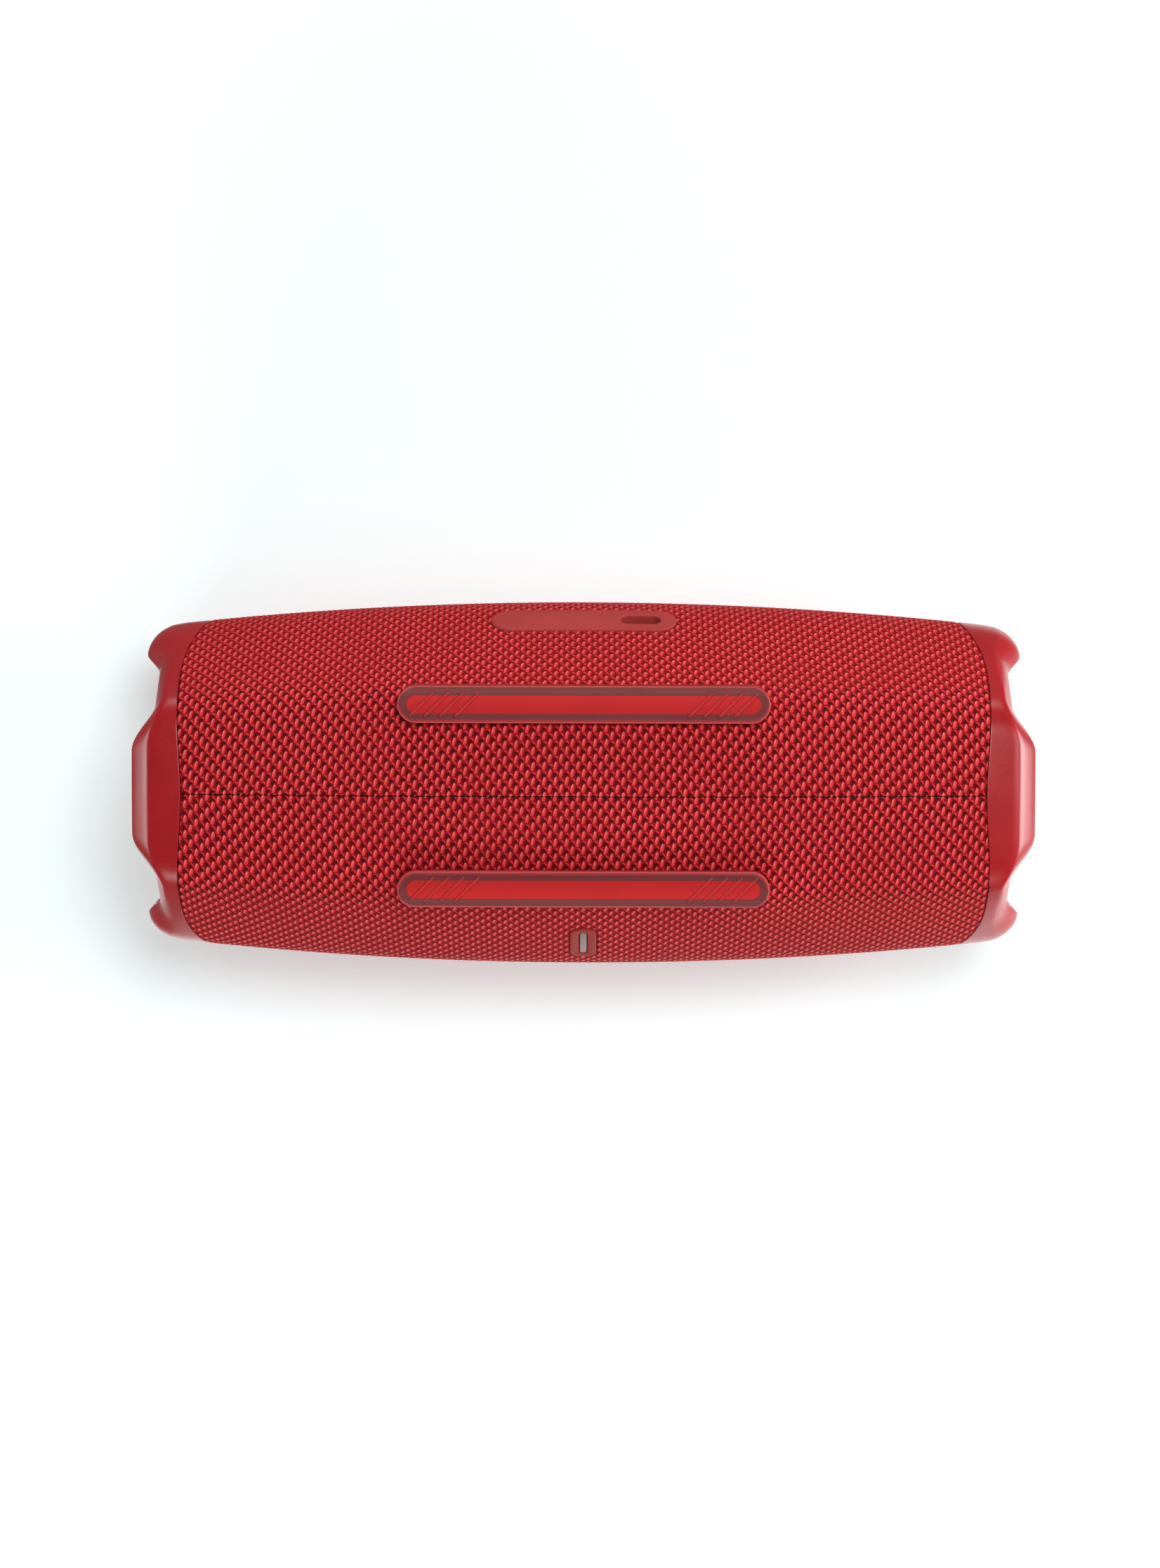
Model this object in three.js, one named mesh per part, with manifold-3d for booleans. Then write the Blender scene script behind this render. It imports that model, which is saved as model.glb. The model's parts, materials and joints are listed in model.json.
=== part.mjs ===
// Portable barrel speaker, in millimetres. X runs along the barrel, -Y is the front, +Y the back, +Z is up.
// The origin is under the middle of the barrel, on the plane that its two feet stand on.

import * as THREE from 'three';
import { mergeVertices } from 'three/addons/utils/BufferGeometryUtils.js';
import Module from 'manifold-3d';

const wasm = await Module();
wasm.setup();

// ---------- driving dimensions ----------

const GAP = 0.3;                    // air between two touching pieces
const OVERSIZE = 2;                 // how far a cutter runs past what it cuts
const FAR = 200;                    // beyond every part of the speaker

const FOOT_HEIGHT = 1.8;            // standing plane to the barrel's underside
const HALF_DEPTH = 47;              // barrel, middle to front or back, at mid-length
const LOWER_HEIGHT = 48;            // barrel, widest line down to the underside
const UPPER_HEIGHT = 47.6;          // barrel, widest line up to the top
const CENTRE_Z = FOOT_HEIGHT + LOWER_HEIGHT;
const BARREL_RADIUS = 962;          // long arc that the barrel's outline follows
const LOWER_ARCS = [[170, 6], [13.5, 50], [200, 9], [34, 25]];   // radius, turn in degrees

const FABRIC_THICKNESS = 1.5;
const SHELL_INSET = FABRIC_THICKNESS + GAP;
const SHELL_WALL = 2.6;
const SHELL_INNER_INSET = SHELL_INSET + SHELL_WALL;
const SHELL_HALF_LENGTH = 96;
const SHELL_SPLIT_Y = 16;           // plane where the front and rear shells meet

// Lobes of a bumper: where the tip ends, and the half-angles where it stops being flat and where it is gone.
const LOBE = { tipX: 114.4, flat: 17, foot: 35 };    // top and bottom
const EAR = { tipX: 112.9, flat: 9, foot: 31 };      // front and back
const VALLEY_X = 108.8;             // between lobes
const DISH_RADIUS = 29.9;           // foot of the dish in front of the radiator
const DISH_X = 104.6;
const BUMPER_SOCKET_RADIUS = 36.6;

const RING_STEPS = 36;              // facets around the barrel
const ROUND_STEPS = 20;             // facets around a driver
const SCREW_STEPS = 8;

const degrees = THREE.MathUtils.degToRad;

// ---------- materials ----------

function finish(color, roughness, metalness = 0) {
  return () => new THREE.MeshStandardMaterial({ color, roughness, metalness });
}

const redFabric = finish(0xa8242c, 0.9);
const redRubber = finish(0xb3363a, 0.55);
const redPlastic = finish(0xb84848, 0.45);
const frostedRubber = finish(0x7d4044, 0.5);
const lensPlastic = finish(0xa98a86, 0.35);
const blackPlastic = finish(0x1c1c1e, 0.6);
const blackRubber = finish(0x161617, 0.75);
const paper = finish(0x242427, 0.85);
const spiderCloth = finish(0xc9a54c, 0.9);
const steel = finish(0x9a9ca0, 0.35, 0.9);
const copper = finish(0xb87333, 0.4, 0.8);
const aluminium = finish(0xb7babd, 0.4, 0.9);
const circuitBoard = finish(0x1f5a35, 0.6);
const cellWrap = finish(0x2f6fb2, 0.4);

// ---------- solids ----------

const speaker = new THREE.Group();

function signedVolume(geometry) {
  const index = geometry.index.array;
  const position = geometry.attributes.position;
  const [a, b, c] = [new THREE.Vector3(), new THREE.Vector3(), new THREE.Vector3()];
  let volume = 0;
  for (let i = 0; i < index.length; i += 3) {
    a.fromBufferAttribute(position, index[i]);
    b.fromBufferAttribute(position, index[i + 1]);
    c.fromBufferAttribute(position, index[i + 2]);
    volume += a.dot(b.cross(c)) / 6;
  }
  return volume;
}

// Merges shared corners and turns the faces outwards.
function closed(geometry) {
  const bare = geometry.clone();
  bare.deleteAttribute('normal');
  bare.deleteAttribute('uv');
  const merged = mergeVertices(bare, 1e-4);
  if (signedVolume(merged) < 0) {
    const index = merged.index.array;
    for (let i = 0; i < index.length; i += 3) {
      [index[i], index[i + 1]] = [index[i + 1], index[i]];
    }
  }
  return merged;
}

function solid(geometry) {
  const merged = closed(geometry);
  return new wasm.Manifold(new wasm.Mesh({
    numProp: 3,
    vertProperties: new Float32Array(merged.attributes.position.array),
    triVerts: new Uint32Array(merged.index.array),
  }));
}

function geometryOf(manifold) {
  const mesh = manifold.getMesh();
  const geometry = new THREE.BufferGeometry();
  geometry.setAttribute('position', new THREE.BufferAttribute(mesh.vertProperties, 3));
  geometry.setIndex(new THREE.BufferAttribute(mesh.triVerts, 1));
  geometry.computeVertexNormals();
  return geometry;
}

function add(name, manifold, material) {
  const mesh = new THREE.Mesh(geometryOf(manifold), material());
  mesh.name = name;
  speaker.add(mesh);
  return mesh;
}

function moved(geometry, x, y, z) {
  return geometry.clone().translate(x, y, z);
}

// ---------- primitives ----------

function box(low, high) {
  const size = high.map((value, axis) => value - low[axis]);
  const middle = high.map((value, axis) => (value + low[axis]) / 2);
  return solid(moved(new THREE.BoxGeometry(...size), ...middle));
}

// A turned piece on the X axis, at the barrel's centre. Points are [x, radius]: the profile starts and ends
// on the axis, or closes on itself.
function turnedX(points, steps = ROUND_STEPS, y = 0, z = CENTRE_Z) {
  const profile = points.map(([x, radius]) => new THREE.Vector2(radius, x));
  const geometry = new THREE.LatheGeometry(profile, steps);
  geometry.rotateZ(-Math.PI / 2);
  return solid(moved(geometry, 0, y, z));
}

// A turned piece whose axis runs along Y; points are [y, radius].
function turnedY(points, x, z, steps = ROUND_STEPS) {
  const profile = points.map(([y, radius]) => new THREE.Vector2(radius, y));
  return solid(moved(new THREE.LatheGeometry(profile, steps), x, 0, z));
}

function turnedZ(points, x, y, steps = ROUND_STEPS) {
  const profile = points.map(([z, radius]) => new THREE.Vector2(radius, z));
  const geometry = new THREE.LatheGeometry(profile, steps);
  geometry.rotateX(Math.PI / 2);
  return solid(moved(geometry, x, y, 0));
}

function cylinder(low, high, radius) {
  return [[low, 0], [low, radius], [high, radius], [high, 0]];
}

function tube(low, high, inner, outer) {
  return [[low, inner], [low, outer], [high, outer], [high, inner], [low, inner]];
}

function roundedOutline(length, width, corner) {
  const [x, y] = [length / 2 - corner, width / 2 - corner];
  const shape = new THREE.Shape();
  shape.absarc(x, -y, corner, -Math.PI / 2, 0);
  shape.absarc(x, y, corner, 0, Math.PI / 2);
  shape.absarc(-x, y, corner, Math.PI / 2, Math.PI);
  shape.absarc(-x, -y, corner, Math.PI, 1.5 * Math.PI);
  shape.closePath();
  return shape;
}

function stadium(length, width) {
  return roundedOutline(length, width, Math.min(length, width) / 2 - 1e-3);
}

function extrusion(shape, low, high, curveSegments = 3) {
  const options = { depth: high - low, bevelEnabled: false, curveSegments };
  return new THREE.ExtrudeGeometry(shape, options).translate(0, 0, low);
}

// ---------- the barrel's form ----------

// Half of the lower cross-section, from the underside's centre line to the widest point, as polar points.
function lowerQuarter() {
  const stepAngle = degrees(1);
  const points = [[0, 0]];
  let heading = 0;
  for (const [radius, turn] of LOWER_ARCS) {
    const steps = Math.round(degrees(turn) / stepAngle);
    for (let i = 0; i < steps; i += 1) {
      const chord = radius * degrees(turn) / steps;
      const [across, up] = points.at(-1);
      const middle = heading + degrees(turn) / steps / 2;
      points.push([across + chord * Math.cos(middle), up + chord * Math.sin(middle)]);
      heading += degrees(turn) / steps;
    }
  }
  const [width, height] = points.at(-1);
  return points.map(([across, up]) => {
    const y = across / width * HALF_DEPTH;
    const z = LOWER_HEIGHT - up / height * LOWER_HEIGHT;
    return { angle: Math.atan2(y, z), radius: Math.hypot(y, z) };
  });
}

const LOWER_QUARTER = lowerQuarter();

// Radius of the mid-length cross-section, by the angle from straight down.
function sectionRadius(angle) {
  const folded = Math.acos(Math.cos(angle));
  if (folded >= Math.PI / 2) {
    const [across, up] = [Math.sin(folded) / HALF_DEPTH, Math.cos(folded) / UPPER_HEIGHT];
    return 1 / Math.hypot(across, up);
  }
  const next = LOWER_QUARTER.findIndex((point) => point.angle >= folded);
  if (next <= 0) {
    return next === 0 ? LOWER_QUARTER[0].radius : HALF_DEPTH;
  }
  const [a, b] = [LOWER_QUARTER[next - 1], LOWER_QUARTER[next]];
  return THREE.MathUtils.mapLinear(folded, a.angle, b.angle, a.radius, b.radius);
}

function barrelDrop(x) {
  return x * x / (2 * BARREL_RADIUS);
}

function barrelRadius(angle, x, inset = 0) {
  return sectionRadius(angle) / HALF_DEPTH * (HALF_DEPTH - barrelDrop(x) - inset);
}

// Where the sleeve ends on the bumper: further in at the front and back, and a little at the top and bottom.
function fabricEdge(angle) {
  return 102.2 - 5.2 * Math.abs(Math.sin(angle)) ** 13 - 1.1 * Math.cos(angle) ** 20;
}

// How far out the bumper reaches: to the tip on a lobe, less in the valleys, smooth between.
function bumperTip(angle) {
  const quarter = Math.PI / 2;
  const fromLobe = Math.abs(angle - Math.round(angle / quarter) * quarter);
  const { tipX, flat, foot } = Math.abs(Math.cos(angle)) > Math.SQRT1_2 ? LOBE : EAR;
  const share = 1 - THREE.MathUtils.smoothstep(fromLobe, degrees(flat), degrees(foot));
  return THREE.MathUtils.lerp(VALLEY_X, tipX, share);
}

// A ring round the X axis whose closed profile of [x, radius] points changes with the angle.
function ringLoft(profileAt, steps = RING_STEPS) {
  const rows = Array.from({ length: steps }, (_, i) => {
    const angle = i / steps * 2 * Math.PI;
    return profileAt(angle).map(([x, r]) => [x, -r * Math.sin(angle), CENTRE_Z - r * Math.cos(angle)]);
  });
  const count = rows[0].length;
  const index = [];
  for (let i = 0; i < steps; i += 1) {
    for (let j = 0; j < count; j += 1) {
      const [a, b] = [i * count + j, i * count + (j + 1) % count];
      const [c, d] = [(i + 1) % steps * count + j, (i + 1) % steps * count + (j + 1) % count];
      index.push(a, b, d, a, d, c);
    }
  }
  const geometry = new THREE.BufferGeometry();
  geometry.setAttribute('position', new THREE.Float32BufferAttribute(rows.flat(2), 3));
  geometry.setIndex(index);
  return solid(geometry);
}

function stations(halfLength, count) {
  return Array.from({ length: count + 1 }, (_, i) => halfLength * (2 * i / count - 1));
}

function barrelTube(halfLengthAt, outerInset, innerInset, count = 6, steps = RING_STEPS) {
  return ringLoft((angle) => {
    const places = stations(halfLengthAt(angle), count);
    const outside = places.map((x) => [x, barrelRadius(angle, x, outerInset)]);
    const inside = places.toReversed().map((x) => [x, barrelRadius(angle, x, innerInset)]);
    return [...outside, ...inside];
  }, steps);
}

// The barrel filled solid, for trimming what sits inside or on it.
function barrelCore(halfLength, inset, steps = RING_STEPS) {
  const rodRadius = 12.5;
  const around = barrelTube(() => halfLength, inset, HALF_DEPTH - rodRadius + OVERSIZE, 6, steps);
  return around.add(turnedX(cylinder(-halfLength, halfLength, rodRadius)));
}

// Moves a geometry drawn on the XY plane onto the barrel: X along it, Z outwards. side is +1 for the back.
function onFlank(geometry, x, angle, side) {
  const step = 1e-3;
  const place = (turn) => new THREE.Vector3(
    x, side * barrelRadius(turn, x) * Math.sin(turn), CENTRE_Z - barrelRadius(turn, x) * Math.cos(turn));
  const along = place(angle + step).sub(place(angle - step)).normalize();
  const outward = new THREE.Vector3(0, along.z * side, -along.y * side);
  const across = new THREE.Vector3().crossVectors(along, outward);
  const frame = new THREE.Matrix4().makeBasis(across, along, outward).setPosition(place(angle));
  return solid(geometry.clone().applyMatrix4(frame));
}

// ---------- feet ----------

const FOOT_LENGTH = 93.4;
const FOOT_WIDTH = 9.4;
const FOOT_Y = 23.2;
const FOOT_RIM = 2.2;
const FOOT_RECESS = 0.6;
const FOOT_POCKET_TOP = 2.9;
const RIDGE_ANGLE = 45;
const RIDGE_PITCH = 3.8;
const RIDGE = [5.4, 0.9];
const RIDGES_PER_END = 4;
const FIRST_RIDGE_X = 40.6;
const FOOT_SLANT = { start: 2.6, angle: 55 };        // outer edge: how far from the foot's middle, degrees

function footOutline(margin = 0) {
  return stadium(FOOT_LENGTH + 2 * margin, FOOT_WIDTH + 2 * margin);
}

function footTool(margin) {
  const top = CENTRE_Z / 2;
  const cutter = (y) => solid(moved(extrusion(footOutline(margin), -OVERSIZE, top), 0, y, 0));
  return cutter(-FOOT_Y).add(cutter(FOOT_Y));
}

// What slants a foot's outer edge up towards the barrel. side is +1 for the rear foot.
function slantTool(side) {
  const rise = Math.tan(degrees(FOOT_SLANT.angle));
  const corner = (up) => new THREE.Vector2(side * (FOOT_Y + FOOT_SLANT.start + up / rise), up);
  const outermost = new THREE.Vector2(corner(FOOT_WIDTH).x, -OVERSIZE);
  const wedge = extrusion(new THREE.Shape([corner(-OVERSIZE), outermost, corner(FOOT_WIDTH)]), -FAR, FAR);
  const turn = new THREE.Matrix4().set(0, 0, 1, 0, 1, 0, 0, 0, 0, 1, 0, 0, 0, 0, 0, 1);
  return solid(wedge.applyMatrix4(turn));
}

const shellOutside = barrelCore(SHELL_HALF_LENGTH, FABRIC_THICKNESS);

function addFoot(name, side) {
  const y = side * FOOT_Y;
  const block = solid(moved(extrusion(footOutline(), 0, CENTRE_Z / 4), 0, y, 0)).subtract(slantTool(side));
  const pocket = solid(moved(extrusion(footOutline(-FOOT_RIM), -OVERSIZE, FOOT_POCKET_TOP), 0, y, 0));
  add(`foot_base_${name}`, block.subtract(shellOutside).subtract(pocket), frostedRubber);

  let insert = solid(moved(
    extrusion(footOutline(-FOOT_RIM - GAP), FOOT_RECESS + GAP, FOOT_POCKET_TOP - GAP), 0, y, 0));
  for (const end of [-1, 1]) {
    for (let i = 0; i < RIDGES_PER_END; i += 1) {
      const ridge = extrusion(stadium(...RIDGE), FOOT_RECESS - GAP, FOOT_RECESS + 2 * GAP, 1);
      ridge.rotateZ(-degrees(RIDGE_ANGLE));
      const x = end * (FIRST_RIDGE_X - i * RIDGE_PITCH);
      insert = insert.add(solid(moved(ridge, x, y, 0)));
    }
  }
  add(`foot_insert_${name}`, insert, redRubber);
}

// ---------- sleeve and shells ----------

const PORT_ANGLE = degrees(70.2);   // from straight down, round the back
const PORT_PLATE = [47.6, 11.2];
const USB_X = -14.5;
const LED_ANGLE = degrees(60.5);    // from straight down, round the front
const LED_TAB = [6.9, 18];
const FLANK_PIECE_DEPTH = 3.4;
const FLANK_PIECE_PROUD = 0.4;
const FLANK_CUT = [-8, 6];          // from under the shell to clear of the sleeve, along the flank's normal

const WOOFER_X = -38;
const TWEETER_X = 52;

const BUTTONS = [
  { name: 'button_volume_down', x: -32, y: -8, radius: 6 },
  { name: 'button_play', x: 0, y: -8, radius: 6 },
  { name: 'button_volume_up', x: 32, y: -8, radius: 6 },
  { name: 'button_pair', x: -20, y: 9, radius: 4.4 },
  { name: 'button_power', x: 0, y: 9, radius: 4.4 },
  { name: 'button_link', x: 20, y: 9, radius: 4.4 },
];
const BUTTON_CLEARANCE = 0.4;

function portTool(margin) {
  const shape = stadium(PORT_PLATE[0] + 2 * margin, PORT_PLATE[1] + 2 * margin);
  return onFlank(extrusion(shape, ...FLANK_CUT), 0, PORT_ANGLE, 1);
}

function ledOutline(margin = 0) {
  return roundedOutline(LED_TAB[0] + 2 * margin, LED_TAB[1] + 2 * margin, LED_TAB[0] / 2 - 0.4);
}

function buttonTool() {
  const holes = BUTTONS.map(({ x, y, radius }) => (
    turnedZ(cylinder(CENTRE_Z + HALF_DEPTH / 2, FAR, radius + BUTTON_CLEARANCE), x, y)));
  return holes.reduce((all, hole) => all.add(hole));
}

function ledTool(margin) {
  return onFlank(extrusion(ledOutline(margin), ...FLANK_CUT), 0, LED_ANGLE, -1);
}

function flankTools(margin) {
  return portTool(margin)
    .add(ledTool(margin))
    .add(buttonTool())
    .add(footTool(margin));
}

function addSleeve() {
  const sleeve = barrelTube(fabricEdge, 0, FABRIC_THICKNESS);
  add('fabric_sleeve', sleeve.subtract(flankTools(BUTTON_CLEARANCE)), redFabric);
}

const END_RING = { low: 86, high: 89.7, inner: 30.5 };
const SCREW_OFFSET = 23.4;          // radiator screws, from the axis along Y and along Z
const SCREW_HOLE_RADIUS = 1.5;
const WOOFER_WINDOW = [80, 36];
const TWEETER_WINDOW_RADIUS = 13;
const KEYPAD_POCKET = [[-44, -18, CENTRE_Z + 30], [44, 15.2, CENTRE_Z + 40.8]];

function screwPlaces() {
  const corners = [[-1, -1], [1, -1], [1, 1], [-1, 1]];
  return corners.map(([y, z]) => [y * SCREW_OFFSET, CENTRE_Z + z * SCREW_OFFSET]);
}

function addShells() {
  let shell = barrelTube(() => SHELL_HALF_LENGTH, SHELL_INSET, SHELL_INNER_INSET);
  const core = barrelCore(SHELL_HALF_LENGTH, SHELL_INSET + SHELL_WALL / 2);
  for (const side of [-1, 1]) {
    const ends = [side * END_RING.low, side * END_RING.high].sort((a, b) => a - b);
    shell = shell.add(turnedX(tube(...ends, END_RING.inner, HALF_DEPTH), RING_STEPS).intersect(core));
    for (const [y, z] of screwPlaces()) {
      const hole = cylinder(ends[0] - OVERSIZE, ends[1] + OVERSIZE, SCREW_HOLE_RADIUS);
      shell = shell.subtract(turnedX(hole, SCREW_STEPS, y, z));
    }
  }
  const wooferWindow = extrusion(stadium(...WOOFER_WINDOW), 0, HALF_DEPTH).rotateX(Math.PI / 2);
  const tweeterWindow = cylinder(-HALF_DEPTH - OVERSIZE, 0, TWEETER_WINDOW_RADIUS);
  shell = shell
    .subtract(solid(moved(wooferWindow, WOOFER_X, 0, CENTRE_Z)))
    .subtract(turnedY(tweeterWindow, TWEETER_X, CENTRE_Z))
    .subtract(portTool(GAP))
    .subtract(ledTool(GAP))
    .subtract(buttonTool())
    .subtract(box(...KEYPAD_POCKET));
  const frontHalf = box([-FAR, -FAR, -FAR], [FAR, SHELL_SPLIT_Y - GAP / 2, FAR]);
  const rearHalf = box([-FAR, SHELL_SPLIT_Y + GAP / 2, -FAR], [FAR, FAR, FAR]);
  add('front_shell', shell.intersect(frontHalf), blackPlastic);
  add('rear_shell', shell.intersect(rearHalf), blackPlastic);
}

// ---------- end bumpers ----------

// Outer rounding, as [share of the way to the tip, loss of radius]. The lobes have a slanting facet.
const EAR_ROUND = [[0, 0], [0.35, 0.25], [0.52, 0.75], [0.68, 1.5], [0.82, 2.6], [0.94, 4.2], [1, 6.2]];
const LOBE_ROUND = [[0, 0], [0.4, 0.12], [0.56, 0.45], [0.64, 1], [0.76, 2.35], [0.92, 4.5], [1, 6.2]];
const LIP = [[0.95, 33.2], [0.8, 31.8]];   // inner side of the lip, as [share of the way, radius]
const ROUND_START_X = 103;

function outerRound(angle) {
  const { lerp, smoothstep } = THREE.MathUtils;
  const lobeShare = smoothstep(Math.cos(angle) ** 2, 0.35, 0.65);
  return EAR_ROUND.map((ear, i) => ear.map((value, axis) => lerp(value, LOBE_ROUND[i][axis], lobeShare)));
}

function bumperProfile(angle) {
  const edge = fabricEdge(angle) + GAP;
  const reach = bumperTip(angle) - ROUND_START_X;
  const at = (x, inset) => [x, barrelRadius(angle, x, inset)];
  const innerX = SHELL_HALF_LENGTH + GAP;
  return [
    [innerX, BUMPER_SOCKET_RADIUS],
    at(innerX, SHELL_INSET),
    at(edge, SHELL_INSET),
    at(edge, 0),
    ...outerRound(angle).map(([share, loss]) => at(ROUND_START_X + share * reach, loss)),
    ...LIP.map(([share, radius]) => [ROUND_START_X + share * reach, radius]),
    [DISH_X, DISH_RADIUS],
    [DISH_X, BUMPER_SOCKET_RADIUS],
  ];
}

function addBumper(name, side) {
  const bumper = ringLoft((angle) => bumperProfile(angle).map(([x, radius]) => [side * x, radius]));
  add(`end_bumper_${name}`, bumper, redRubber);
}

// ---------- passive radiators ----------

const SURROUND_X = 102.6;           // plane that the surround lies on
const ROLL = { inner: 22.4, outer: 29.1, thickness: 0.9, lip: 1.4 };
const CONE_RADIUS = 22.1;
const FRAME = {
  start: 90, neckRadius: 35.5, ledgeRadius: 31.2, boreRadius: 29.6, boreStart: 99, flare: 97.5,
};
const RADIATOR_SCREW = {
  headRadius: 2.1, headHeight: 1.6, shankRadius: 1.2, sinkRadius: 2.5, sinkDepth: 1.9,
};
// The plate's outline, as [x from its top rim, radius].
const CONE_OUTLINE = [
  [-4.5, 0], [-4.5, 9], [-2.2, 11], [-1.8, CONE_RADIUS], [0, CONE_RADIUS],
  [0, 20.6], [0.8, 20], [0.2, 12], [0.9, 10], [0.9, 0],
];

function halfRoll(base, inner, outer, thickness, lip, steps = 4) {
  const middle = (inner + outer) / 2;
  const radius = (outer - inner) / 2;
  const arc = (r, lift) => Array.from({ length: steps + 1 }, (_, i) => {
    const turn = Math.PI * i / steps;
    return [base + lift + r * Math.sin(turn), middle - r * Math.cos(turn)];
  });
  return [
    [base, inner - lip],
    ...arc(radius, 0),
    [base, outer + lip],
    [base + thickness, outer + lip],
    ...arc(radius + thickness / 2, thickness).toReversed().slice(1, -1),
    [base + thickness, inner - lip],
    [base, inner - lip],
  ];
}

function addRadiator(name, side) {
  const mirrored = (points) => points.map(([x, radius]) => [side * x, radius]);
  const turned = (points) => turnedX(mirrored(points));
  const socket = SHELL_HALF_LENGTH + GAP;
  const face = DISH_X - GAP;
  const ledge = SURROUND_X - GAP;
  const rimRadius = BUMPER_SOCKET_RADIUS - GAP;
  let frame = turned([
    [FRAME.start, END_RING.inner], [FRAME.start, FRAME.neckRadius], [socket, FRAME.neckRadius],
    [socket, rimRadius],
    [face, rimRadius], [face, FRAME.ledgeRadius], [ledge, FRAME.ledgeRadius], [ledge, FRAME.boreRadius],
    [FRAME.boreStart, FRAME.boreRadius], [FRAME.flare, END_RING.inner], [FRAME.start, END_RING.inner],
  ]);
  const { headRadius, headHeight, shankRadius, sinkRadius, sinkDepth } = RADIATOR_SCREW;
  const seat = face - sinkDepth;
  const tip = END_RING.low + 0.5;
  const top = seat + headHeight;
  screwPlaces().forEach(([y, z], i) => {
    const screwAt = (points) => turnedX(mirrored(points), SCREW_STEPS, y, z);
    frame = frame
      .subtract(screwAt(cylinder(END_RING.low, seat + OVERSIZE / 2, SCREW_HOLE_RADIUS)))
      .subtract(screwAt(cylinder(seat, FAR, sinkRadius)));
    add(`radiator_screw_${name}_${i + 1}`, screwAt([
      [tip, 0], [tip + 1, shankRadius], [seat + GAP, shankRadius], [seat + GAP, headRadius],
      [top, headRadius], [top, 0],
    ]), steel);
  });
  add(`radiator_frame_${name}`, frame, blackPlastic);
  const roll = halfRoll(SURROUND_X, ROLL.inner, ROLL.outer, ROLL.thickness, ROLL.lip);
  add(`radiator_surround_${name}`, turned(roll), blackRubber);
  add(`radiator_cone_${name}`, turned(CONE_OUTLINE.map(([x, radius]) => [ledge + x, radius])), redPlastic);
}

// ---------- port plate ----------

const USB_RECESS = [10.4, 4.3];
const USB_SHELL = [8.9, 3.2];
const USB_WALL = 0.35;
const USB_DEPTH = { back: -8.5, front: -2 };         // of the socket, below the plate's face
const USB_TONGUE = [6.7, 0.7];
const USB_BOARD = { outline: [16, 1.2], depth: [-13, -3.8], offset: -2.6 };

function addPort() {
  const plate = extrusion(stadium(...PORT_PLATE), -FLANK_PIECE_DEPTH, FLANK_PIECE_PROUD);
  const recess = onFlank(extrusion(stadium(...USB_RECESS), ...FLANK_CUT), USB_X, PORT_ANGLE, 1);
  add('port_plate', onFlank(plate, 0, PORT_ANGLE, 1).subtract(recess), redRubber);

  const { back, front } = USB_DEPTH;
  const boreBack = back + 0.8;
  const can = onFlank(extrusion(stadium(...USB_SHELL), back, front), USB_X, PORT_ANGLE, 1);
  const [width, height] = USB_SHELL.map((size) => size - 2 * USB_WALL);
  const bore = onFlank(extrusion(stadium(width, height), boreBack, front + OVERSIZE), USB_X, PORT_ANGLE, 1);
  add('usb_shell', can.subtract(bore), steel);

  const tongue = extrusion(roundedOutline(...USB_TONGUE, GAP), boreBack + GAP, front - 2 * GAP, 2);
  add('usb_tongue', onFlank(tongue, USB_X, PORT_ANGLE, 1), blackPlastic);

  const { outline, depth, offset } = USB_BOARD;
  const board = extrusion(roundedOutline(...outline, 0.1), ...depth, 1).translate(0, offset, 0);
  add('usb_board', onFlank(board, USB_X, PORT_ANGLE, 1), circuitBoard);
}

// ---------- light tab ----------

const LENS = [1.9, 13.5];
const LENS_PROUD = 0.1;
const LED_BOARD = { outline: [6, 16], thickness: 1.4 - GAP, corner: 0.5 };

function addLight() {
  const bezel = extrusion(ledOutline(), -FLANK_PIECE_DEPTH, FLANK_PIECE_PROUD);
  const slot = extrusion(stadium(LENS[0] + 2 * GAP, LENS[1] + 2 * GAP), ...FLANK_CUT);
  const place = (geometry) => onFlank(geometry, 0, LED_ANGLE, -1);
  add('led_bezel', place(bezel).subtract(place(slot)), redPlastic);
  add('led_lens', place(extrusion(stadium(...LENS), -FLANK_PIECE_DEPTH, LENS_PROUD)), lensPlastic);
  const top = -FLANK_PIECE_DEPTH - GAP;
  const { outline, thickness, corner } = LED_BOARD;
  const board = extrusion(roundedOutline(...outline, corner), top - thickness, top, 1);
  add('led_board', place(board), circuitBoard);
}

// ---------- buttons ----------

const CAP_PROUD = 0.7;              // of the barrel, which the caps follow
const ICON_PROUD = 1.3;
const BLANK_TOP = 2 * CENTRE_Z;     // caps and icons are trimmed down from here
const CAP_LOW = CENTRE_Z + 40.5;    // underside of the shell's keypad pocket, less a gap
const FLANGE_THICKNESS = 0.9;
const BUTTON_TRAVEL = 0.8;
const ICON_LOW = CENTRE_Z + 45;
const FLANGE_REACH = 1.2;           // how far a cap's flange stands out under the shell
const KEYPAD_HALF_LENGTH = 42;
const TOP_STEPS = 72;               // facets round the forms that the caps and icons are trimmed to
const KEYPAD = {
  outline: [2 * KEYPAD_HALF_LENGTH, 29, 2], y: -1.75, membrane: 1.2, board: 1.4, space: 0.8, clearance: 0.4,
};
const SWITCH = { half: 2, height: 0.5 };

function bar(length, width, x, y, turn = 0) {
  const geometry = extrusion(roundedOutline(length, width, 0.4), ICON_LOW, BLANK_TOP, 2);
  return solid(moved(geometry.rotateZ(turn), x, y, 0));
}

function ringIcon(radius, x, y) {
  return turnedZ(tube(ICON_LOW, BLANK_TOP, radius - 0.8, radius), x, y, 10);
}

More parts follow.
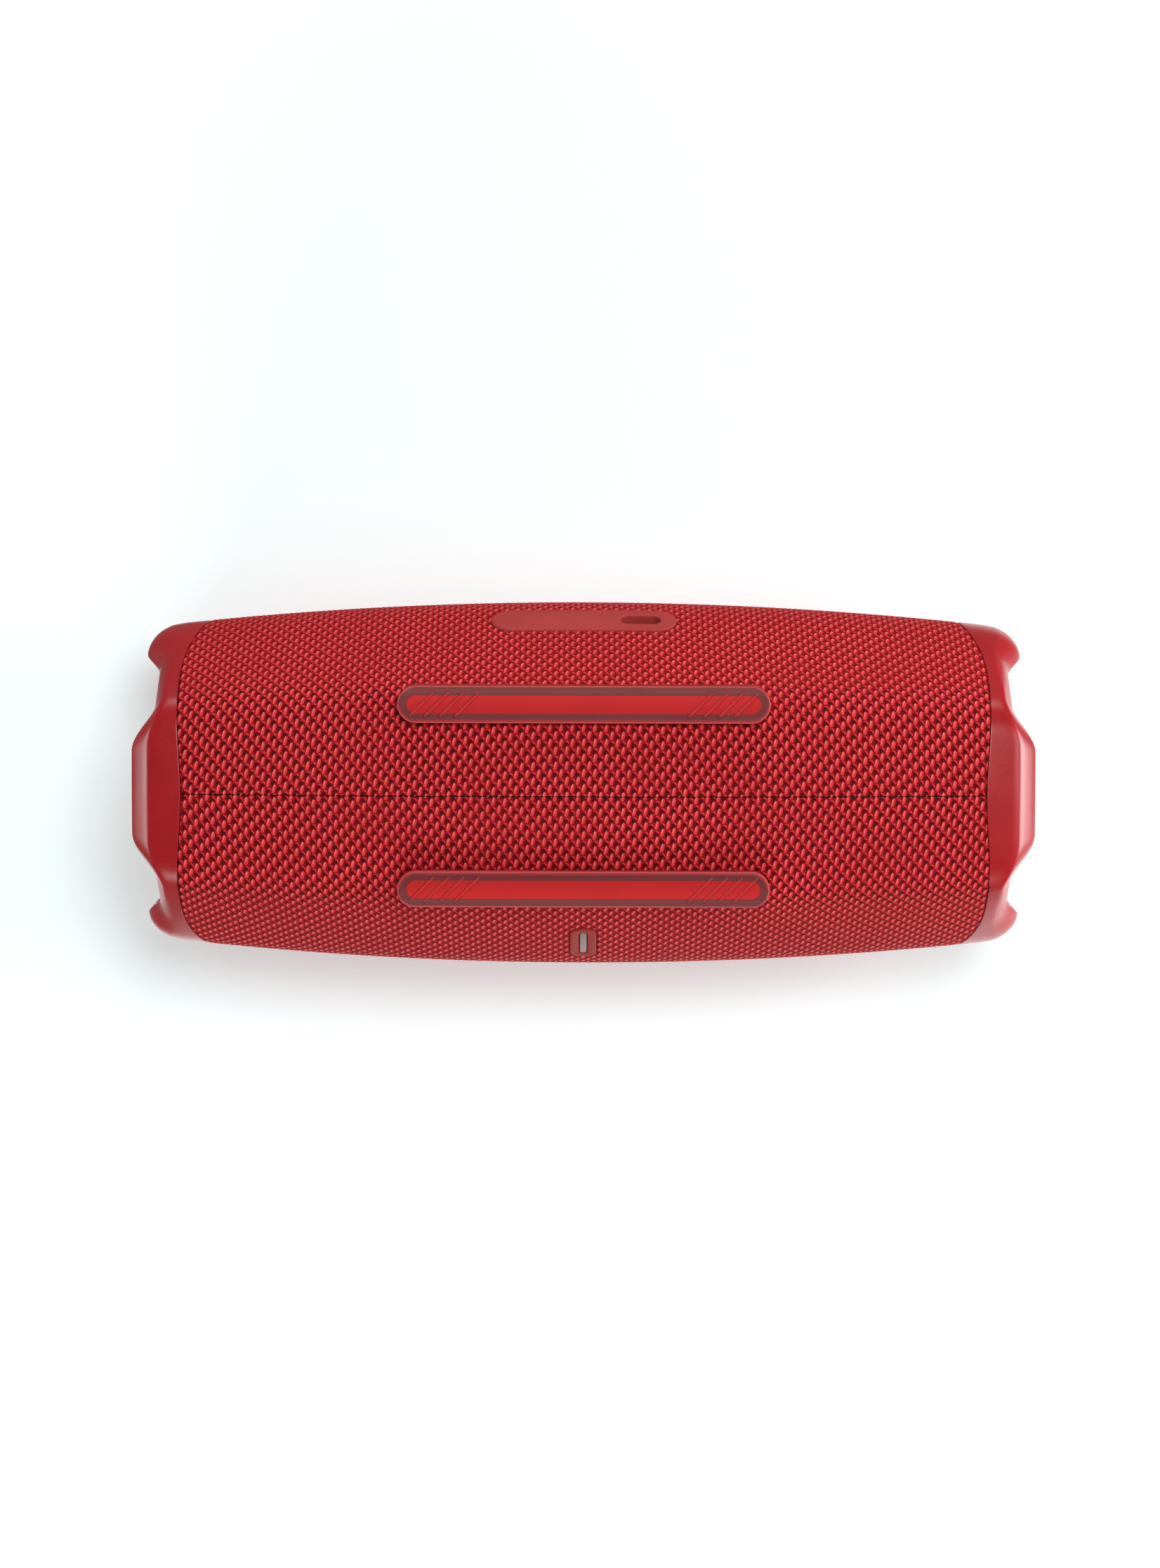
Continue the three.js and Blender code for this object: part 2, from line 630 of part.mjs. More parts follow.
const ICONS = {
  button_volume_down: (x, y) => bar(8, 1.8, x, y),
  button_volume_up: (x, y) => bar(8, 1.8, x, y).add(bar(1.8, 8, x, y)),
  button_play: (x, y) => {
    const corners = [[-2.4, -3.6], [3.9, 0], [-2.4, 3.6]].map((point) => new THREE.Vector2(...point));
    return solid(moved(extrusion(new THREE.Shape(corners), ICON_LOW, BLANK_TOP), x, y, 0));
  },
  button_power: (x, y) => ringIcon(2.4, x, y).add(bar(1, 3, x, y + 2)),
  button_pair: (x, y) => ringIcon(1.7, x - 1.2, y).add(ringIcon(1.7, x + 1.2, y)),
  button_link: (x, y) => ringIcon(1.1, x, y + 1.6).add(ringIcon(1.1, x - 1.9, y - 1.4))
    .add(ringIcon(1.1, x + 1.9, y - 1.4)),
};

function keypadSheet(low, high) {
  return solid(moved(extrusion(roundedOutline(...KEYPAD.outline), low, high, 2), 0, KEYPAD.y, 0));
}

function addButtons() {
  const flangeLow = CAP_LOW - FLANGE_THICKNESS;
  const [capForm, iconForm] = [CAP_PROUD, ICON_PROUD].map((proud) => (
    barrelCore(KEYPAD_HALF_LENGTH, -proud, TOP_STEPS)));
  for (const { name, x, y, radius } of BUTTONS) {
    const blank = turnedZ([
      [flangeLow, 0], [flangeLow, radius + FLANGE_REACH], [CAP_LOW, radius + FLANGE_REACH],
      [CAP_LOW, radius], [BLANK_TOP, radius], [BLANK_TOP, 0],
    ], x, y);
    const icon = ICONS[name](x, y).intersect(iconForm);
    add(name, blank.intersect(capForm).add(icon), redPlastic);
  }
  const membraneTop = flangeLow - BUTTON_TRAVEL - KEYPAD.clearance;
  const membraneLow = membraneTop - KEYPAD.membrane;
  add('keypad_membrane', keypadSheet(membraneLow, membraneTop), blackRubber);

  const boardTop = membraneLow - KEYPAD.space;
  let board = keypadSheet(boardTop - KEYPAD.board, boardTop);
  const { half, height } = SWITCH;
  for (const { x, y } of BUTTONS) {
    board = board.add(box([x - half, y - half, boardTop - height], [x + half, y + half, boardTop + height]));
  }
  add('button_board', board, circuitBoard);
}

// ---------- drivers ----------

const BAFFLE = { front: -26.5, back: -24, halfLength: 85.5 };
const FLANGE = { front: -29.2, back: BAFFLE.front - GAP, outline: [93, 53] };
const TUB = { back: -8, floor: 2, outline: [83, 43], bore: [80, 40], neckRadius: 16 };
const VENT = { outline: [14, 20], x: 28 };
const BAFFLE_HOLE = { woofer: [84, 44], tweeterRadius: 14.6, screwRadius: 1.4 };
const WOOFER_SCREW = { x: 18, z: 23.6, headRadius: 1.9, headHeight: 1.3, shankRadius: 0.9, holeRadius: 1.2 };
const COIL = { front: -18.6, back: -2, inner: 12, outer: 12.8 };
const WOOFER_ROLL = { outline: [68, 28], width: 5.2, thickness: 0.8, lip: 1 };
const CONE_PLATE = { outline: [65.4, 25.4], thickness: 1 };

// Outlines of the turned pieces, as [y, radius].
const MAGNET_FRONT = TUB.back + GAP;
const MAGNET_OUTLINE = [
  [MAGNET_FRONT, 13.6], [MAGNET_FRONT, 20], [6, 20], [6, 0], [-6, 0], [-6, 11.4], [4, 11.4], [4, 13.6],
  [MAGNET_FRONT, 13.6],
];
const SPIDER_WAVE = [[-14, 13.1], [-13.4, 14.5], [-14.4, 16], [-13.4, 17.5], [-14, 19.6]];
const SPIDER_THICKNESS = 0.7;

function alongY(shape, front, back, x, curveSegments = 4) {
  const geometry = extrusion(shape, -back, -front, curveSegments).rotateX(Math.PI / 2);
  return solid(moved(geometry, x, 0, CENTRE_Z));
}

// A ring that follows a stadium lying across Y; profile points are [y, distance outside the stadium].
function stadiumRing(length, width, profile, x, arcSteps = 8) {
  const radius = width / 2;
  const straight = length / 2 - radius;
  const rows = [];
  for (const end of [1, -1]) {
    for (let i = 0; i <= arcSteps; i += 1) {
      const turn = -Math.PI / 2 + Math.PI * i / arcSteps;
      const [cos, sin] = [Math.cos(turn) * end, Math.sin(turn) * end];
      rows.push(profile.map(([y, out]) => [
        x + end * straight + cos * (radius + out), y, CENTRE_Z + sin * (radius + out)]));
    }
  }
  const count = profile.length;
  const index = [];
  rows.forEach((_, i) => {
    for (let j = 0; j < count; j += 1) {
      const [a, b] = [i * count + j, i * count + (j + 1) % count];
      const [c, d] = [(i + 1) % rows.length * count + j, (i + 1) % rows.length * count + (j + 1) % count];
      index.push(a, b, d, a, d, c);
    }
  });
  const geometry = new THREE.BufferGeometry();
  geometry.setAttribute('position', new THREE.Float32BufferAttribute(rows.flat(2), 3));
  geometry.setIndex(index);
  return solid(geometry);
}

function wooferScrewPlaces() {
  const { x, z } = WOOFER_SCREW;
  const corners = [[-1, -1], [1, -1], [1, 1], [-1, 1]];
  return corners.map(([right, up]) => [WOOFER_X + right * x, CENTRE_Z + up * z]);
}

function addBaffle() {
  const core = barrelCore(BAFFLE.halfLength, SHELL_INNER_INSET + GAP);
  const { front, back, halfLength } = BAFFLE;
  const [cutFront, cutBack] = [front - OVERSIZE, back + OVERSIZE];
  let baffle = box([-halfLength, front, 0], [halfLength, back, 2 * CENTRE_Z])
    .intersect(core)
    .subtract(alongY(stadium(...BAFFLE_HOLE.woofer), cutFront, cutBack, WOOFER_X))
    .subtract(turnedY(cylinder(cutFront, cutBack, BAFFLE_HOLE.tweeterRadius), TWEETER_X, CENTRE_Z));
  for (const [x, z] of wooferScrewPlaces()) {
    const hole = cylinder(cutFront, cutBack, BAFFLE_HOLE.screwRadius);
    baffle = baffle.subtract(turnedY(hole, x, z, SCREW_STEPS));
  }
  add('baffle', baffle, blackPlastic);
}

function addBasket() {
  const floor = TUB.back - TUB.floor;
  const block = (outline, front, back, x = WOOFER_X) => alongY(stadium(...outline), front, back, x);
  let basket = block(FLANGE.outline, FLANGE.front, FLANGE.back)
    .add(block(TUB.outline, FLANGE.front, TUB.back))
    .subtract(block(TUB.bore, FLANGE.front - OVERSIZE, floor))
    .subtract(turnedY(cylinder(floor - OVERSIZE, TUB.back + OVERSIZE, TUB.neckRadius), WOOFER_X, CENTRE_Z));
  for (const end of [-1, 1]) {
    const vent = block(VENT.outline, floor - OVERSIZE, TUB.back + OVERSIZE, WOOFER_X + end * VENT.x);
    basket = basket.subtract(vent);
  }
  const { headRadius, headHeight, shankRadius, holeRadius } = WOOFER_SCREW;
  const head = FLANGE.front - GAP;
  const tip = BAFFLE.back + 5;
  wooferScrewPlaces().forEach(([x, z], i) => {
    const hole = cylinder(FLANGE.front - OVERSIZE, FLANGE.back + OVERSIZE, holeRadius);
    basket = basket.subtract(turnedY(hole, x, z, SCREW_STEPS));
    add(`woofer_screw_${i + 1}`, turnedY([
      [head - headHeight, 0], [head - headHeight, headRadius], [head, headRadius], [head, shankRadius],
      [tip - 1, shankRadius], [tip, 0],
    ], x, z, SCREW_STEPS), steel);
  });
  add('woofer_basket', basket, blackPlastic);
}

function addWooferMotor() {
  add('woofer_magnet', turnedY(MAGNET_OUTLINE, WOOFER_X, CENTRE_Z), steel);
  const winding = tube(COIL.front, COIL.back, COIL.inner, COIL.outer);
  add('woofer_voice_coil', turnedY(winding, WOOFER_X, CENTRE_Z), copper);
  const back = SPIDER_WAVE.map(([y, radius]) => [y + SPIDER_THICKNESS, radius]).toReversed();
  add('woofer_spider', turnedY([...SPIDER_WAVE, ...back, SPIDER_WAVE[0]], WOOFER_X, CENTRE_Z), spiderCloth);
}

function addWooferCone() {
  const seat = FLANGE.front - GAP;
  const { outline, width, thickness, lip } = WOOFER_ROLL;
  const roll = halfRoll(0, 0, width, thickness, lip).map(([out, across]) => [seat - out, across]);
  add('woofer_surround', stadiumRing(...outline, roll.slice(0, -1), WOOFER_X), blackRubber);

  const plateFront = seat + 0.4;
  const plateBack = plateFront + CONE_PLATE.thickness;
  const plate = alongY(stadium(...CONE_PLATE.outline), plateFront, plateBack, WOOFER_X);
  const middle = (plateFront + plateBack) / 2;
  const coilTop = COIL.front - GAP;
  const neck = turnedY([
    [middle, 0], [middle, 12.6], [coilTop, COIL.outer], [coilTop, 11.3], [seat + 3, 11], [seat + 3, 0],
  ], WOOFER_X, CENTRE_Z);
  const cap = turnedY([
    [middle, 0], [middle, 11], [seat - 0.6, 9], [seat - 1.6, 5.5], [seat - 2, 0],
  ], WOOFER_X, CENTRE_Z);
  add('woofer_cone', plate.add(neck).add(cap), paper);
}

function addTweeter() {
  const front = BAFFLE.front - GAP;
  const turned = (outline) => turnedY(outline.map(([y, radius]) => [front + y, radius]), TWEETER_X, CENTRE_Z);
  add('tweeter_faceplate', turned([
    [0, 10.6], [0, 16.5], [-1.6, 16.5], [-1.6, 13], [-1, 10.6], [0, 10.6],
  ]), blackPlastic);
  add('tweeter_dome', turned([
    [-0.4, 0], [-0.4, 10], [-1, 10], [-1.2, 9], [-3.2, 6.4], [-4.3, 3.2], [-4.6, 0],
  ]), paper);
  add('tweeter_magnet', turned([
    [0.5, 0], [0.5, 10], [1.3, 14], [10.8, 14], [10.8, 0],
  ]), steel);
}

// ---------- battery and boards ----------

const CELL = { radius: 10.5, low: 6, high: 76, y: 18.5, offset: 11.6, capRadius: 4, capHeight: 2 };
const HOLDER_WALL = 1.6;
const MAIN_BOARD = { outline: [80, 38, 2], x: -42, z: CENTRE_Z + 11, front: 12, back: 13.6 };
const HEATSINK = { low: -70, high: -44, base: 2, finPitch: 6.1, finWidth: 1.6, finReach: 8, fins: 5 };
const WIRELESS = { low: -30, high: -12, height: 2.2 };

function addBattery() {
  const shoulder = CELL.high - CELL.capHeight;
  const outline = [
    [CELL.low, 0], [CELL.low, CELL.radius], [shoulder, CELL.radius], [shoulder, CELL.capRadius],
    [CELL.high, CELL.capRadius], [CELL.high, 0],
  ];
  for (const [name, side] of [['a', -1], ['b', 1]]) {
    const cell = turnedX(outline, ROUND_STEPS, CELL.y, CENTRE_Z + side * CELL.offset);
    add(`battery_cell_${name}`, cell, cellWrap);
  }
  const wall = HOLDER_WALL;
  const reach = CELL.offset + CELL.radius;
  const [low, high] = [CELL.low - GAP, CELL.high + GAP];
  const [front, back] = [CELL.y - CELL.radius, CELL.y + CELL.radius + GAP];
  const [bottom, top] = [CENTRE_Z - reach, CENTRE_Z + reach];
  const plate = (xLow, xHigh, yLow, yHigh) => box([xLow, yLow, bottom], [xHigh, yHigh, top]);
  add('battery_holder', plate(low - wall, low, front, back + wall)
    .add(plate(high, high + wall, front, back + wall))
    .add(plate(low - wall, high + wall, back, back + wall)), blackPlastic);
}

function addBoards() {
  const { outline, x: boardX, z: boardZ, front, back } = MAIN_BOARD;
  const board = extrusion(roundedOutline(...outline), -back, -front, 2).rotateX(Math.PI / 2);
  add('main_board', solid(moved(board, boardX, 0, boardZ)), circuitBoard);

  const foot = back + GAP;
  const [sinkLow, sinkHigh] = [CENTRE_Z + 2, CENTRE_Z + 22];
  const { low, high, base, finPitch, finWidth, finReach, fins } = HEATSINK;
  let sink = box([low, foot, sinkLow], [high, foot + base, sinkHigh]);
  for (let i = 0; i < fins; i += 1) {
    const x = low + i * finPitch;
    sink = sink.add(box([x, foot + base / 2, sinkLow], [x + finWidth, foot + finReach, sinkHigh]));
  }
  add('heatsink', sink, aluminium);
  const can = box([WIRELESS.low, foot, CENTRE_Z + 4], [WIRELESS.high, foot + WIRELESS.height, CENTRE_Z + 19]);
  add('wireless_module', can, steel);
}

// ---------- assembly ----------

addShells();
addSleeve();
addFoot('front', -1);
addFoot('rear', 1);
for (const [name, side] of [['left', -1], ['right', 1]]) {
  addBumper(name, side);
  addRadiator(name, side);
}
addPort();
addLight();
addButtons();
addBaffle();
addBasket();
addWooferMotor();
addWooferCone();
addTweeter();
addBattery();
addBoards();

export default speaker;
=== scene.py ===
"""Looks of the portable barrel speaker: knitted sleeve, rubber bumpers, feet, port plate, light tab, buttons,
passive radiators, their materials, and the camera, lights and stage.

Lengths are millimetres, as the object was measured, until metres() puts a mesh into the scene. The camera,
the stage and the lights are in metres.
The weave runs on u, counted in columns of beads, and v, counted in beads along a column."""

import json
import math

import bmesh
import bpy
import numpy as np
from mathutils import Matrix, Vector

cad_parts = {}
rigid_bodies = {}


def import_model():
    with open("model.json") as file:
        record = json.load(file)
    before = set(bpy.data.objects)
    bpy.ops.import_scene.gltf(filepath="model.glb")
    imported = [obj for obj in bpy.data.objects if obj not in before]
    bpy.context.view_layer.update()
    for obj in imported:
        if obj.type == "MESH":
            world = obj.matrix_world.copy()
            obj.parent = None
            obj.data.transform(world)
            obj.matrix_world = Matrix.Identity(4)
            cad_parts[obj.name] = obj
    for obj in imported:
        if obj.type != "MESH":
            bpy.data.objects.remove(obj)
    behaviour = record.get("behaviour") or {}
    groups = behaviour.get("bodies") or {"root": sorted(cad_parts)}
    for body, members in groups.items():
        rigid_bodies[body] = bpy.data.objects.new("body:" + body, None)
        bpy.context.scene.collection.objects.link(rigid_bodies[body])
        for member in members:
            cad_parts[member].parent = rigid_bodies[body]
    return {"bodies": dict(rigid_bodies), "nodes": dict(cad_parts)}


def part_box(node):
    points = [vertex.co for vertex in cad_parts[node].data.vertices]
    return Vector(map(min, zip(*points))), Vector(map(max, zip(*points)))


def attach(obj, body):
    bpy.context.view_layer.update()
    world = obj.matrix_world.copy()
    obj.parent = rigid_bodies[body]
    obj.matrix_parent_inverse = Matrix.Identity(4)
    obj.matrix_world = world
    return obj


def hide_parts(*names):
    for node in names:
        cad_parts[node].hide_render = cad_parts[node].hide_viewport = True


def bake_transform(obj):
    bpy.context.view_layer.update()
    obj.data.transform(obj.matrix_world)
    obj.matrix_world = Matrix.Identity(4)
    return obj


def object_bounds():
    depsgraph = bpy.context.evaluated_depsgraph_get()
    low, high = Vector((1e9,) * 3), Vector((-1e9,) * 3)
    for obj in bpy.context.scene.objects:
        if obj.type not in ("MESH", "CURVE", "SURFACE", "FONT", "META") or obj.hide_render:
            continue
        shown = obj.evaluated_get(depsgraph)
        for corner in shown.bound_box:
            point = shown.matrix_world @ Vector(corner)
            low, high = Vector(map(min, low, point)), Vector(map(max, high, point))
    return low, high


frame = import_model()
cad_low, cad_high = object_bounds()


# ---------- the barrel's form ----------

HALF_DEPTH = 47.0
LOWER_HEIGHT = 48.0
UPPER_HEIGHT = 47.6
CENTRE_Z = 49.8
BARREL_RADIUS = 962.0  # long arc that the barrel's outline follows
# Arcs of the lower half, from the underside outwards, as (radius, turn in degrees).
LOWER_ARCS = ((170, 6), (13.5, 50), (200, 9), (34, 25))
FRONT, BACK = 1, -1  # sign of the arc length from the top line, by which way it goes round


def node_box(name):
    """Lowest and highest corner of a CAD node, in millimetres."""
    low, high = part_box(name)
    return np.array(low) * 1000, np.array(high) * 1000


def half_section():
    """Half of the mid-length cross-section, from the top line to the underside: points of [out, up]."""
    turns = np.radians(np.arange(0, 90.5, 0.5))
    upper = np.stack([HALF_DEPTH * np.sin(turns), UPPER_HEIGHT * np.cos(turns)], 1)
    points, heading = [np.zeros(2)], 0.0
    for radius, turn in LOWER_ARCS:
        steps = turn * 2
        for _ in range(steps):
            bend = math.radians(turn) / steps
            middle = heading + bend / 2
            points.append(points[-1] + radius * bend * np.array([math.cos(middle), math.sin(middle)]))
            heading += bend
    lower = np.array(points)
    lower = np.stack(
        [lower[:, 0] / lower[-1, 0] * HALF_DEPTH, lower[:, 1] / lower[-1, 1] * LOWER_HEIGHT - LOWER_HEIGHT], 1
    )
    return np.concatenate([upper, lower[-2::-1]])


SECTION = half_section()
SECTION_ARC = np.concatenate([[0], np.cumsum(np.hypot(*np.diff(SECTION, axis=0).T))])
SECTION_ANGLE = np.arctan2(SECTION[:, 0], -SECTION[:, 1])  # from straight down, so pi at the top line
SECTION_TANGENT = np.gradient(SECTION, SECTION_ARC, axis=0)
HALF_GIRTH = SECTION_ARC[-1]


def swell(x, inset=0.0):
    """The cross-section's size at x, as a share of the one at mid-length."""
    return (HALF_DEPTH - x * x / (2 * BARREL_RADIUS) - inset) / HALF_DEPTH


def angle_at(x, arc):
    """Angle from straight down of the point at an arc length from the top line."""
    return np.interp(np.abs(arc) / swell(x), SECTION_ARC, SECTION_ANGLE)


def on_barrel(x, arc, height=0.0):
    """Points on the barrel, raised by height along its normal."""
    size = swell(x)
    along = np.abs(arc) / size
    out, up = (np.interp(along, SECTION_ARC, SECTION[:, i]) for i in (0, 1))
    tangent_out, tangent_up = (np.interp(along, SECTION_ARC, SECTION_TANGENT[:, i]) for i in (0, 1))
    length = np.hypot(tangent_out, tangent_up)
    normal_out, normal_up = -tangent_up / length, tangent_out / length
    normal_x = x / BARREL_RADIUS / HALF_DEPTH * (out * normal_out + up * normal_up)
    scale = height / np.sqrt(1 + normal_x**2)
    side = -np.where(arc >= 0, 1.0, -1.0)
    return np.stack(
        [
            x + normal_x * scale,
            side * (out * size + normal_out * scale),
            CENTRE_Z + up * size + normal_up * scale,
        ],
        -1,
    )


def smooth(low, high, value):
    share = np.clip((value - low) / (high - low), 0, 1)
    return share * share * (3 - 2 * share)


def fabric_edge(angle):
    """x where the sleeve meets the bumper, at an angle from straight down."""
    return 102.2 - 5.2 * np.abs(np.sin(angle)) ** 13 - 1.1 * np.cos(angle) ** 20


# ---------- mesh tools ----------


def metres(name, vertices, faces, **attributes):
    """A smooth-shaded mesh object from millimetre vertices, with its point attributes."""
    mesh = bpy.data.meshes.new(name)
    mesh.from_pydata((np.asarray(vertices) / 1000).tolist(), [], faces)
    for key, values in attributes.items():
        values = np.asarray(values, np.float32)
        kind = "FLOAT_VECTOR" if values.ndim == 2 else "FLOAT"
        attribute = mesh.attributes.new(key, kind, "POINT")
        attribute.data.foreach_set("vector" if values.ndim == 2 else "value", values.ravel())
    mesh.shade_smooth()
    piece = bpy.data.objects.new(name, mesh)
    bpy.context.scene.collection.objects.link(piece)
    return piece


def face_outwards(piece):
    work = bmesh.new()
    work.from_mesh(piece.data)
    bmesh.ops.recalc_face_normals(work, faces=work.faces)
    work.to_mesh(piece.data)
    work.free()


def rounded_gap(x, y, length, width, corner=None):
    """Distance outside a rounded rectangle, negative inside; without a corner radius it is a stadium."""
    corner = min(length, width) / 2 if corner is None else corner
    over_x = np.abs(x) - (length / 2 - corner)
    over_y = np.abs(y) - (width / 2 - corner)
    outside = np.hypot(np.maximum(over_x, 0), np.maximum(over_y, 0))
    return outside + np.minimum(np.maximum(over_x, over_y), 0) - corner


def slope_of(distance, a, b):
    e = 1e-3
    slope_a = (distance(a + e, b) - distance(a - e, b)) / (2 * e)
    slope_b = (distance(a, b + e) - distance(a, b - e)) / (2 * e)
    return slope_a, slope_b


def patch(name, a_values, b_values, distance, place, rim, lift, weave=None, **fields):
    """A sheet over a grid, kept where distance is positive, its grid pulled onto the line where that is zero.

    place(a, b, height) gives the points, lift(a, b, distance) their height, and rim is the turned-down
    border, as (further out, height) steps. weave and fields name attributes worked out from a and b."""
    a, b = np.meshgrid(a_values, b_values, indexing="ij")
    step_a, step_b = a_values[1] - a_values[0], b_values[1] - b_values[0]
    gap = distance(a, b)
    slope_a, slope_b = slope_of(distance, a, b)
    steep = slope_a**2 + slope_b**2 + 1e-9
    reach = 0.51 * np.maximum(np.abs(slope_a) * step_a, np.abs(slope_b) * step_b)
    near = np.abs(gap) < reach
    a = np.where(near, a - gap * slope_a / steep, a)
    b = np.where(near, b - gap * slope_b / steep, b)
    side = np.where(near, 0, np.sign(gap)).astype(int)

    rows, columns = a.shape
    index = np.arange(rows * columns).reshape(rows, columns)
    quads = np.stack([index[:-1, :-1], index[1:, :-1], index[1:, 1:], index[:-1, 1:]], -1).reshape(-1, 4)
    sides = side.ravel()[quads]
    kept = quads[(sides > 0).any(1) & ((sides < 0).sum(1) <= 1)]
    faces = [[v for v in face if side.flat[v] >= 0] for face in kept]

    a, b = a.ravel(), b.ravel()
    gap = np.where(side.ravel() == 0, 0.0, gap.ravel())
    height = lift(a, b, gap)
    edges = {}
    for face in faces:
        for p, q in zip(face, face[1:] + face[:1]):
            if edges.pop((q, p), None) is None:
                edges[(p, q)] = True
    border = sorted({v for edge in edges for v in edge})
    slope_a, slope_b = (s[border] for s in (slope_a.ravel(), slope_b.ravel()))
    steep = slope_a**2 + slope_b**2 + 1e-9
    all_a, all_b, all_height = [a], [b], [height]
    count = len(a)
    above = {v: v for v in border}
    for out, down in rim:
        all_a.append(a[border] - out * slope_a / steep)
        all_b.append(b[border] - out * slope_b / steep)
        all_height.append(height[border] + down)
        below = {v: count + i for i, v in enumerate(border)}
        faces += [[above[q], above[p], below[p], below[q]] for p, q in edges]
        above = below
        count += len(border)
    a, b, height = (np.concatenate(part) for part in (all_a, all_b, all_height))

    used = np.unique(np.concatenate([np.asarray(face) for face in faces]))
    renumber = np.zeros(count, int)
    renumber[used] = np.arange(len(used))
    faces = [renumber[face].tolist() for face in faces]
    a, b, height = a[used], b[used], height[used]
    values = {key: field(a, b) for key, field in fields.items()}
    if weave is not None:
        values["weave"] = weave(a, b)
    return metres(name, place(a, b, height), faces, **values)


def level(height):
    """A patch's lift that is the same all over."""
    return lambda a, b, gap: np.full_like(a, height)


def loft(name, rings, sharp, closed_profile=False):
    """A skin over rings of points, each ring a closed loop of the same count; sharp is in degrees."""
    rings = np.asarray(rings)
    levels, around = rings.shape[:2]
    faces = []
    for i in range(levels if closed_profile else levels - 1):
        j = (i + 1) % levels
        for k in range(around):
            m = (k + 1) % around
            faces.append([i * around + k, i * around + m, j * around + m, j * around + k])
    piece = metres(name, rings.reshape(-1, 3), faces)
    face_outwards(piece)
    piece.data.set_sharp_from_angle(angle=math.radians(sharp))
    return piece


def turned(name, profile, place, steps, sharp):
    """A turned piece: profile is [along, radius] points, place(along, across, up) gives the points."""
    turns = np.linspace(0, 2 * math.pi, steps, endpoint=False)
    rings = [place(np.full(steps, along), r * np.cos(turns), r * np.sin(turns)) for along, r in profile]
    return loft(name, rings, sharp)


def curve_through(points, cuts):
    """A Catmull-Rom curve through the points, each span cut into that many parts."""
    points = np.asarray(points, float)
    padded = np.concatenate([2 * points[:1] - points[1:2], points, 2 * points[-1:] - points[-2:-1]])
    result = []
    for i in range(1, len(points)):
        p0, p1, p2, p3 = padded[i - 1 : i + 3]
        linear_part = p2 - p0
        square_part = 2 * p0 - 5 * p1 + 4 * p2 - p3
        cubic_part = 3 * p1 - p0 - 3 * p2 + p3
        for t in np.arange(cuts) / cuts:
            result.append(0.5 * (2 * p1 + linear_part * t + square_part * t**2 + cubic_part * t**3))
    return np.array([*result, points[-1]])


# ---------- shader tools ----------


class Value:
    """A number in a shader's node tree that takes part in ordinary arithmetic."""

    def __init__(self, tree, socket):
        self.tree, self.socket = tree, socket

    def math(self, operation, *others):
        node = self.tree.nodes.new("ShaderNodeMath")
        node.operation = operation
        for i, item in enumerate((self, *others)):
            if isinstance(item, Value):
                self.tree.links.new(item.socket, node.inputs[i])
            else:
                node.inputs[i].default_value = item
        return Value(self.tree, node.outputs[0])

    def __add__(self, other):
        return self.math("ADD", other)

    def __sub__(self, other):
        return self.math("SUBTRACT", other)

    def __rsub__(self, other):
        return self.math("MULTIPLY_ADD", -1.0, other)

    def __mul__(self, other):
        return self.math("MULTIPLY", other)

    __radd__, __rmul__ = __add__, __mul__

    def fade(self, low, high):
        """0 at low, 1 at high, smooth between; low may be the greater one."""
        node = self.tree.nodes.new("ShaderNodeMapRange")
        node.interpolation_type = "SMOOTHSTEP"
        self.tree.links.new(self.socket, node.inputs["Value"])
        node.inputs["From Min"].default_value = low
        node.inputs["From Max"].default_value = high
        return Value(self.tree, node.outputs["Result"])


def linear(color):
    """Scene-linear RGBA of an sRGB colour given as 0 to 255."""
    parts = [c / 255 for c in color]
    return [c / 12.92 if c <= 0.04045 else ((c + 0.055) / 1.055) ** 2.4 for c in parts] + [1.0]


